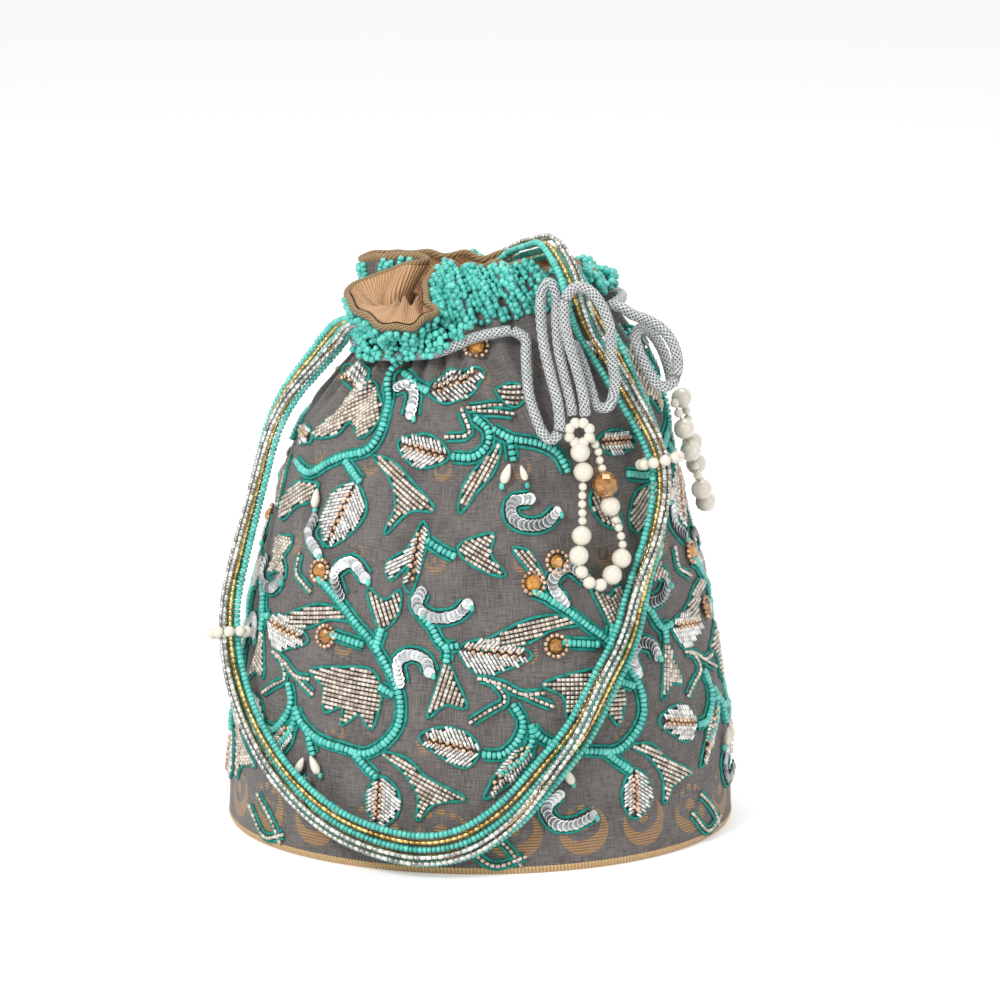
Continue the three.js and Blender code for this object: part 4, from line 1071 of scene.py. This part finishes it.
class RuffBeads:
    """Turquoise seed beads sewn over the outside of the ruff, heaped on the pleats."""

    first, last, guide_level = -0.36, 0.485, 1.6
    pitch, row_share, size, shape = 2.3, 0.86, 2.75, (0.78, 1.0, 1.0)
    low_level, level_reach, levels = 1.02, 0.96, (1.01, 1.985)
    thread_jitter, level_jitter, lift_jitter, turn_jitter, size_jitter = 0.0012, 0.012, 0.18, 0.35, 0.05
    fold, crest, kept_share = -0.85, 0.1, 0.6
    heap_thread, heap_level, heap_top = 0.0022, 0.03, 1.97
    lift, heap_lift = 1.0, 2.5
    skirt_from, skirt_to, skirt_pitch, skirt_rows = -70.0, -8.0, 2.9, 5
    skirt_top, skirt_drop, skirt_still, skirt_reach = 5.0, 1.9, 0.45, 8.5
    skirt_jitter = (0.6, 0.45, 0.5)

    def build(self) -> None:
        """Lays columns of beads from the neck to the rim, thinner in the folds."""
        u = np.linspace(self.first, self.last, 900)
        rim = Bag.smooth_cloth(u, np.full_like(u, self.guide_level))
        length = np.concatenate([[0], np.cumsum(np.linalg.norm(np.diff(rim, axis=0), axis=1))])
        columns = np.interp(np.arange(0, length[-1], self.pitch), length, u)
        threads, levels = [], []
        for k, column in enumerate(columns):
            tall = float(np.linalg.norm(Bag.smooth_cloth(column, 2.0) - Bag.smooth_cloth(column, 1.0))) + 4
            count = max(int(tall / (self.row_share * self.pitch)), 3)
            rows = self.low_level + self.level_reach * (np.arange(count) + 0.5 * (k % 2)) / count
            threads.append(np.full(count, column) + RNG.normal(0, self.thread_jitter, count))
            levels.append(rows + RNG.normal(0, self.level_jitter, count))
        thread, level = np.concatenate(threads), np.clip(np.concatenate(levels), *self.levels)
        crest = np.cos(2 * np.pi * PLEATS * thread)
        keep = (crest > self.fold) | (RNG.random(len(thread)) < self.kept_share)
        over = (crest > self.crest) & (RNG.random(len(thread)) < self.kept_share)
        thread = np.concatenate([thread[keep], thread[over] + self.heap_thread])
        heaped = np.clip(level[over] + self.heap_level, self.levels[0], self.heap_top)
        level = np.concatenate([level[keep], heaped])
        lift = np.concatenate([np.full(keep.sum(), self.lift), np.full(over.sum(), self.heap_lift)])
        lift = lift + RNG.normal(0, self.lift_jitter, len(thread))
        base = Bag.cloth(thread, level)
        out = Bag.outward(thread, level)
        along = Bag.smooth_cloth(thread + 0.002, level) - Bag.smooth_cloth(thread - 0.002, level)
        along = unit(along) + RNG.normal(0, self.turn_jitter, along.shape)
        centres = base + out * lift[:, None]
        skirt, skirt_along, skirt_out = self.skirt()
        centres, along, out = (np.vstack(pair) for pair in ((centres, skirt), (along, skirt_along), (out, skirt_out)))
        sizes = np.array(self.shape) * self.size * (1 + RNG.normal(0, self.size_jitter, (len(centres), 1)))
        Beads("ruff_beads", Shape.SEED, TURQUOISE, "turquoise_beads", centres, along, out, sizes).build(
            ("collar_beading_front", "collar_beading_lobe"))

    def skirt(self) -> tuple:
        """Beads that hang from the lobe over the drawstring: centres, hole directions and outward directions."""
        angle_jitter, height_jitter, reach_jitter = self.skirt_jitter
        columns = np.arange(self.skirt_from, self.skirt_to, self.skirt_pitch)
        angle, row = np.meshgrid(columns, np.arange(self.skirt_rows))
        angle = (angle + self.skirt_pitch / 2 * (row % 2) + RNG.normal(0, angle_jitter, angle.shape)).ravel()
        row = row.ravel()
        hang = smooth(angle, self.skirt_from, -52) * (1 - smooth(angle, -22, self.skirt_to))
        drop = row * self.skirt_drop * (self.skirt_still + (1 - self.skirt_still) * hang)
        height = NECK_HEIGHT + self.skirt_top - Drawstring.dip(angle) - drop + RNG.normal(0, height_jitter, len(row))
        reach = self.skirt_reach + 1.0 * (row < 3) + RNG.normal(0, reach_jitter, len(row))
        centres = Bag.on(angle, height, reach)
        out = Bag.normal(angle, height)
        along = Bag.on(angle + 1, height, reach) - centres + RNG.normal(0, self.turn_jitter, centres.shape)
        return centres, along, out


class Fill(Enum):
    """How a leaf is filled with short beads."""

    HERRINGBONE = "slanted rows that meet at a midrib"
    BRICK = "rows across the leaf"


@dataclass(frozen=True)
class Vine:
    """One repeat of the scrolling vine, in angle and height on the bag."""

    repeat: float
    stems: tuple
    ribbed: tuple
    bricked: tuple
    curls: tuple
    sequins: tuple
    stones: tuple
    drops: tuple


LOWER_VINE = Vine(
    repeat=60,
    stems=(
        ((-43, 103), (-36, 96), (-32, 91), (-27, 85), (-22, 75), (-19, 66), (-19, 56), (-22, 49), (-27, 44),
         (-33, 45), (-40, 47), (-46, 52), (-48, 56)),
        ((-24, 69), (-21, 67)), ((-30, 44), (-28, 41), (-24, 36)), ((-39, 86), (-30, 84)), ((-46, 105), (-43, 103)),
        ((-25, 90), (-26, 84)), ((-43, 48), (-41, 41)), ((-48, 56), (-48, 51), (-50, 45), (-55, 39)),
        ((1, 46), (5, 46), (9, 52), (10, 58), (8, 64)),
        ((-14.5, 96), (-12, 92.5), (-10, 87.5), (-8, 84.5), (-8, 80.5)), ((-8, 85.3), (-5.5, 86)),
    ),
    ribbed=(
        ((-23, 36), (-26, 30), (-26, 23), (-23, 17), (-19, 21), (-18, 28), (-20, 34)),
        ((-5, 85), (-1, 88), (6, 87), (13, 82), (6, 77), (0, 75)),
        ((0, 47), (-2, 53), (-8, 56), (-14, 52), (-9, 45), (-3, 41)),
        ((12, 52), (9, 49), (5, 42), (1, 29), (7, 35), (12, 43)),
    ),
    bricked=(
        ((-24, 69), (-27, 75), (-34, 75), (-45, 71), (-40, 66), (-39, 57), (-34, 60), (-34, 53), (-29, 58),
         (-26, 53), (-24, 61)),
        ((-23, 45), (-17, 44), (-12, 37), (-3, 29), (-10, 27), (-14, 20), (-14, 30), (-18, 39)),
        ((-34, 92), (-40, 96), (-48, 95), (-61, 85), (-49, 86), (-41, 91)),
        ((-25, 90), (-28, 96), (-30, 105), (-25, 101), (-21, 105), (-21, 96)),
        ((-8, 80), (-10, 72), (-12, 59), (-8, 64), (-3, 63), (-5, 72)),
    ),
    curls=(
        ((0, 74), (3, 73), (6, 66), (2, 62), (-2, 58)),
        ((2, 73), (5, 72), (10, 68), (15, 68)), ((10, 68), (17, 63)), ((0, 19), (6, 11), (9, 4)),
        ((-64, 13), (-57, 4), (-50, 7)),
    ),
    sequins=(
        ((-19, 71), (-20, 79), (-17, 82), (-13, 80), (-12, 76)), ((-38, 100), (-41, 108), (-36, 113), (-31, 108)),
        ((-15, 105), (-16, 100), (-12, 96), (-6, 97), (-3, 101)), ((18, 30), (15, 25), (17, 19), (21, 18), (26, 21)),
    ),
    stones=((-41, 85), (-46, 108)),
    drops=(((-44, 36), (-42.6, 41)), ((-40, 37), (-41.4, 41))),
)
UPPER_VINE = Vine(
    repeat=120,
    stems=(
        ((-39, 186), (-41, 182), (-36, 171), (-35, 162), (-38, 154), (-47, 150), (-53, 146), (-61, 141), (-72, 143)),
        ((-45, 148), (-38, 142)), ((-36, 183), (-22, 176)), ((-14, 123), (-11, 120.5), (-7, 118)),
        ((-9, 153), (-3, 153), (1, 157), (1, 162), (-3, 166)),
        ((3, 162), (8, 159), (16, 157), (23, 153), (26, 147)), ((8, 158), (9, 152)),
    ),
    ribbed=(
        ((-39, 141), (-46, 138), (-50, 128), (-46, 117), (-39, 122), (-34, 132)),
        ((-22, 176), (-18, 182), (-10, 183), (-1, 181), (-5, 175), (-13, 172)),
        ((-10, 153), (-18, 161), (-28, 158), (-20, 149)),
        ((-51, 175), (-63, 177), (-80, 182), (-72, 185), (-53, 182)),
        ((-16, 130), (-14, 125), (-15, 118), (-16.5, 110), (-18, 104), (-20, 107), (-19, 114), (-24, 108),
         (-25.5, 114), (-19.5, 120.5)),
        ((37, 155), (45, 158), (54, 153), (44, 150)),
    ),
    bricked=(
        ((-41, 174), (-50, 180), (-60, 175), (-60, 168), (-68, 155), (-54, 158), (-51, 164), (-42, 158), (-38, 164),
         (-38, 170)),
        ((-36, 152), (-29, 151), (-21, 144), (-13, 134), (-20, 133), (-27, 124), (-25, 135), (-29, 145)),
        ((5, 158), (4, 149), (-1, 141), (-6, 133), (-5, 144), (0, 152)),
        ((38, 143), (33, 136), (36, 127), (43, 124)), ((3, 175), (8, 177), (15, 173), (10, 169)),
        ((9, 121), (12, 114), (18, 106), (16, 114), (14, 119)),
        ((-55, 138), (-59, 138), (-70, 135), (-74, 125), (-70.5, 121), (-64.5, 127.5), (-57, 131.5)),
        ((-62, 117), (-61.5, 113.5), (-64, 109), (-62, 106), (-61.5, 101), (-66.5, 103), (-72.5, 100.5),
         (-72.5, 107.5), (-73, 114), (-66, 116.5)),
        ((-6, 121), (-1, 125), (4, 126), (3, 119), (7, 111), (-1, 114)),
    ),
    curls=(
        ((-8, 169), (-5, 161), (-12, 160)), ((-6, 170), (5, 170)), ((-4, 169), (9, 167)),
        ((-56, 112), (-56, 105), (-52, 102), (-49, 100)),
    ),
    sequins=(
        ((-35, 178), (-29, 178), (-27, 175), (-26, 168)), ((-52, 126), (-53, 120), (-48, 114)),
        ((14, 138), (9, 137), (9, 132), (12, 129), (18, 129), (22, 133)),
    ),
    stones=((-5, 190), (21, 115)),
    drops=(((7, 147), (8.4, 152)), ((12, 147), (10.6, 152)), ((-53.5, 133), (-54, 138))),
)


def flattened(points: tuple) -> tuple:
    """Points of the vine in millimetres on flat cloth, and the millimetres of one degree at their mean height."""
    raw = np.array(points, float)
    scale = float(math.radians(1) * 0.95 * hermite(STATIONS, 1, np.mean(raw[:, 1])))
    return raw * (scale, 1), scale


def flat_path(line: tuple, spacing: float, closed: bool = False) -> tuple:
    """Smooth path through one line of the vine on flat cloth, and the millimetres of one degree."""
    flat, scale = flattened(line)
    return curve_through(flat, spacing, closed), scale


def inside_distance(points: Array, outline: Array) -> Array:
    """Distance from each point to a closed outline, positive inside it."""
    a, b = outline, np.roll(outline, -1, 0)
    edge = b - a
    to = points[:, None] - a[None]
    share = np.clip(np.sum(to * edge, -1) / np.maximum(np.sum(edge * edge, -1), 1e-9), 0, 1)
    gap = np.linalg.norm(to - share[..., None] * edge, axis=-1).min(axis=1)
    y = points[:, None, 1]
    crosses = (a[None, :, 1] > y) != (b[None, :, 1] > y)
    rise = np.where(np.abs(edge[:, 1]) < 1e-9, 1e-9, edge[:, 1])
    x = a[None, :, 0] + (y - a[None, :, 1]) * edge[None, :, 0] / rise
    inside = np.sum(crosses & (points[:, None, 0] < x), axis=1) % 2 == 1
    return np.where(inside, gap, -gap)


@dataclass
class Bed:
    """Beads laid on the cloth, gathered until they are written as one piece."""

    name: str
    shape: Shape
    finish: Finish
    size: tuple
    lift: float
    tilt: float = 0.0

    def __post_init__(self) -> None:
        self.rows: list = []

    def lay(self, points: Array, directions: Array, scale: float) -> None:
        """Adds beads at flat points, in millimetres, pointing along flat directions."""
        stretch = (1 / scale, 1)
        self.rows.append(np.hstack([points * stretch, directions * stretch]))

    def build(self, repeat: float, nodes: tuple = (), cut: bool = False, tag: str = "") -> None:
        """Repeats the beads round the bag and writes them."""
        rows = np.vstack(self.rows)
        turns = np.arange(0, 360, repeat)
        rows = np.concatenate([rows + (turn, 0, 0, 0) for turn in turns])
        angle, height = rows[:, 0], rows[:, 1]
        centres = Bag.skin(angle, height, self.lift)
        ahead = Bag.skin(angle + rows[:, 2], height + rows[:, 3], self.lift) - centres
        out = Bag.normal(angle, height)
        if self.tilt:
            ahead, out = out * math.cos(self.tilt) + unit(ahead) * math.sin(self.tilt), unit(ahead)
        wobble = 1 + RNG.normal(0, 0.06, (len(rows), 1))
        Beads(f"{self.name}_{tag}", self.shape, self.finish, "vine_beads", centres, ahead, out,
              np.array(self.size) * wobble).build(nodes, cut)


class Embroidery:
    """Beadwork of one row of the vine."""

    stem_pitch, fill_row, fill_pitch, bugle_row, bugle_pitch, bugle_start = 1.75, 1.62, 1.7, 1.5, 2.3, 0.9
    outline_pitch, sequin_pitch, curl_pitch = 1.6, 1.8, 2.0
    slant, rib_start, rib_end, rib_step, rib_gap = 0.72, 0.14, 0.86, 0.11, 0.75
    brick_margin, bugle_margin, rib_margin = 0.5, 0.45, 0.4
    thread_lift, thread_width, thread_height, thread_sides = 0.45, 1.35, 1.2, 6
    stem_edge, sequin_edge, curl_edge = 2.0, 2.9, 1.5
    rim_beads, rim_radius, drop_bead = 13, 3.9, 4.4
    level = np.array([[1.0, 0.0]])

    def __init__(self, tag: str, vine: Vine) -> None:
        self.tag, self.vine = tag, vine
        self.stem = Bed("vine_stems", Shape.SEED, TURQUOISE, (1.7, 3.0, 2.5), 1.35)
        self.clear = Bed("vine_clear_beads", Shape.CUT, CLEAR, (1.6, 1.75, 1.7), 1.0)
        self.bright = Bed("vine_silver_bugles", Shape.CUT, BRIGHT, (2.5, 1.5, 1.6), 1.15)
        self.blush = Bed("vine_blush_beads", Shape.SEED, BLUSH, (1.5, 1.7, 1.7), 1.7)
        self.sequin = Bed("vine_sequins", Shape.SEQUIN, SEQUIN, (0.9, 4.4, 4.4), 1.6, math.radians(17))
        self.stone = Bed("vine_stones", Shape.FACETED, STONE, (2.6, 5.9, 5.9), 1.9, 1e-6)
        self.drop = Bed("vine_pearl_drops", Shape.DROP, PEARL, (7.6, 4.7, 4.2), 2.3)
        self.outlines: list = []
        self.lines: list = []

    def edge(self, path: Array, scale: float, reach: float) -> None:
        """Notes a line of thread along each side of a path."""
        ahead = tangents(path)
        side = reach * np.stack([-ahead[:, 1], ahead[:, 0]], 1)
        self.lines += [(path + side) / (scale, 1), (path - side) / (scale, 1)]

    def stems(self) -> None:
        """Lines of seed beads."""
        for line in self.vine.stems:
            path, scale = flat_path(line, self.stem_pitch)
            self.stem.lay(path, tangents(path), scale)
            self.edge(path, scale, self.stem_edge)

    def leaf(self, line: tuple, fill: Fill) -> None:
        """One filled leaf with its thread outline."""
        outline, scale = flat_path(line, self.outline_pitch, closed=True)
        self.outlines.append(outline / (scale, 1))
        base = outline[0]
        tip = outline[np.argmax(np.linalg.norm(outline - base, axis=1))]
        axis = unit((tip - base)[None])[0]
        across = np.array([-axis[1], axis[0]])
        span = np.arange(-40, 40)
        if fill is Fill.BRICK:
            i, j = np.meshgrid(span, span)
            grid = (base + i.ravel()[:, None] * self.fill_row * across
                    + j.ravel()[:, None] * self.fill_pitch * axis)
            kept = grid[inside_distance(grid, outline) > self.brick_margin]
            self.clear.lay(kept, np.tile(axis, (len(kept), 1)), scale)
            return
        for sign in (-1, 1):
            slant = unit((self.slant * axis + sign * across)[None])[0]
            i, j = np.meshgrid(span, np.arange(1, 12))
            steps = self.bugle_row * i.ravel()[:, None] * axis
            grid = base + steps + (self.bugle_start + (j.ravel() - 0.5) * self.bugle_pitch)[:, None] * slant
            kept = grid[inside_distance(grid, outline) > self.bugle_margin]
            self.bright.lay(kept, np.tile(slant, (len(kept), 1)), scale)
        rib = base + np.arange(self.rib_start, self.rib_end, self.rib_step)[:, None] * (tip - base)
        gap = self.rib_gap * across
        rib = np.vstack([rib + gap, rib[:-1] - gap + self.rib_step / 2 * (tip - base)])
        kept = rib[inside_distance(rib, outline) > self.rib_margin]
        self.blush.lay(kept, np.tile(axis, (len(kept), 1)), scale)

    def details(self) -> None:
        """Sequin arcs, stones in bead rims, pearl drops and curls of clear beads."""
        for line in self.vine.sequins:
            path, scale = flat_path(line, self.sequin_pitch)
            self.sequin.lay(path, tangents(path), scale)
            self.edge(path, scale, self.sequin_edge)
            self.stem.lay(path[-1:] + (1.5, -1.5), self.level, scale)
        for place in self.vine.stones:
            middle, scale = flattened((place,))
            self.stone.lay(middle, self.level, scale)
            turn = 2 * np.pi * np.arange(self.rim_beads)[:, None] / self.rim_beads
            ring = middle + self.rim_radius * np.hstack([np.cos(turn), np.sin(turn)])
            self.blush.lay(ring, np.hstack([-np.sin(turn), np.cos(turn)]), scale)
        for ends in self.vine.drops:
            flat, scale = flattened(ends)
            rise = unit(flat[1:] - flat[:1])
            self.drop.lay(flat[:1], rise, scale)
            self.stem.lay(flat[:1] - self.drop_bead * rise, self.level, scale)
        for line in self.vine.curls:
            path, scale = flat_path(line, self.curl_pitch)
            self.edge(path, scale, self.curl_edge)
            self.clear.lay(path, tangents(path), scale)

    def threads(self) -> None:
        """Thread round every leaf, and along both sides of the stems, sequin arcs and curls."""
        for closed, name, lines in ((True, "outlines", self.outlines), (False, "curls", self.lines)):
            paths, ups = [], []
            for turn in np.arange(0, 360, self.vine.repeat):
                for line in lines:
                    angle, height = line[:, 0] + turn, line[:, 1]
                    paths.append(Bag.skin(angle, height, self.thread_lift))
                    ups.append(Bag.normal(angle, height))
            points, faces, _ = tubes(paths, ups, self.thread_width, self.thread_height, self.thread_sides, closed)
            make_piece(f"vine_thread_{name}_{self.tag}", points, faces, THREAD,
                       tint=RNG.random(len(faces)))

    def build(self) -> None:
        """Lays all the beadwork of the row and writes its pieces."""
        self.stems()
        for line in self.vine.ribbed:
            self.leaf(line, Fill.HERRINGBONE)
        for line in self.vine.bricked:
            self.leaf(line, Fill.BRICK)
        self.details()
        nodes = tuple(f"vine_{self.tag}_{k}" for k in range(1, 7))
        self.stem.build(self.vine.repeat, nodes, tag=self.tag)
        for bed in (self.clear, self.bright, self.blush, self.sequin, self.drop):
            bed.build(self.vine.repeat, tag=self.tag)
        self.stone.build(self.vine.repeat, cut=True, tag=self.tag)
        self.threads()


def main() -> None:
    """Makes the camera and cords, then the cloth and the beadwork."""
    Studio().build()
    Handle().build()
    Drawstring().build()
    Cloth().build()
    RuffBeads().build()
    Embroidery("lower", LOWER_VINE).build()
    Embroidery("upper", UPPER_VINE).build()


if __name__ == "__main__":
    main()
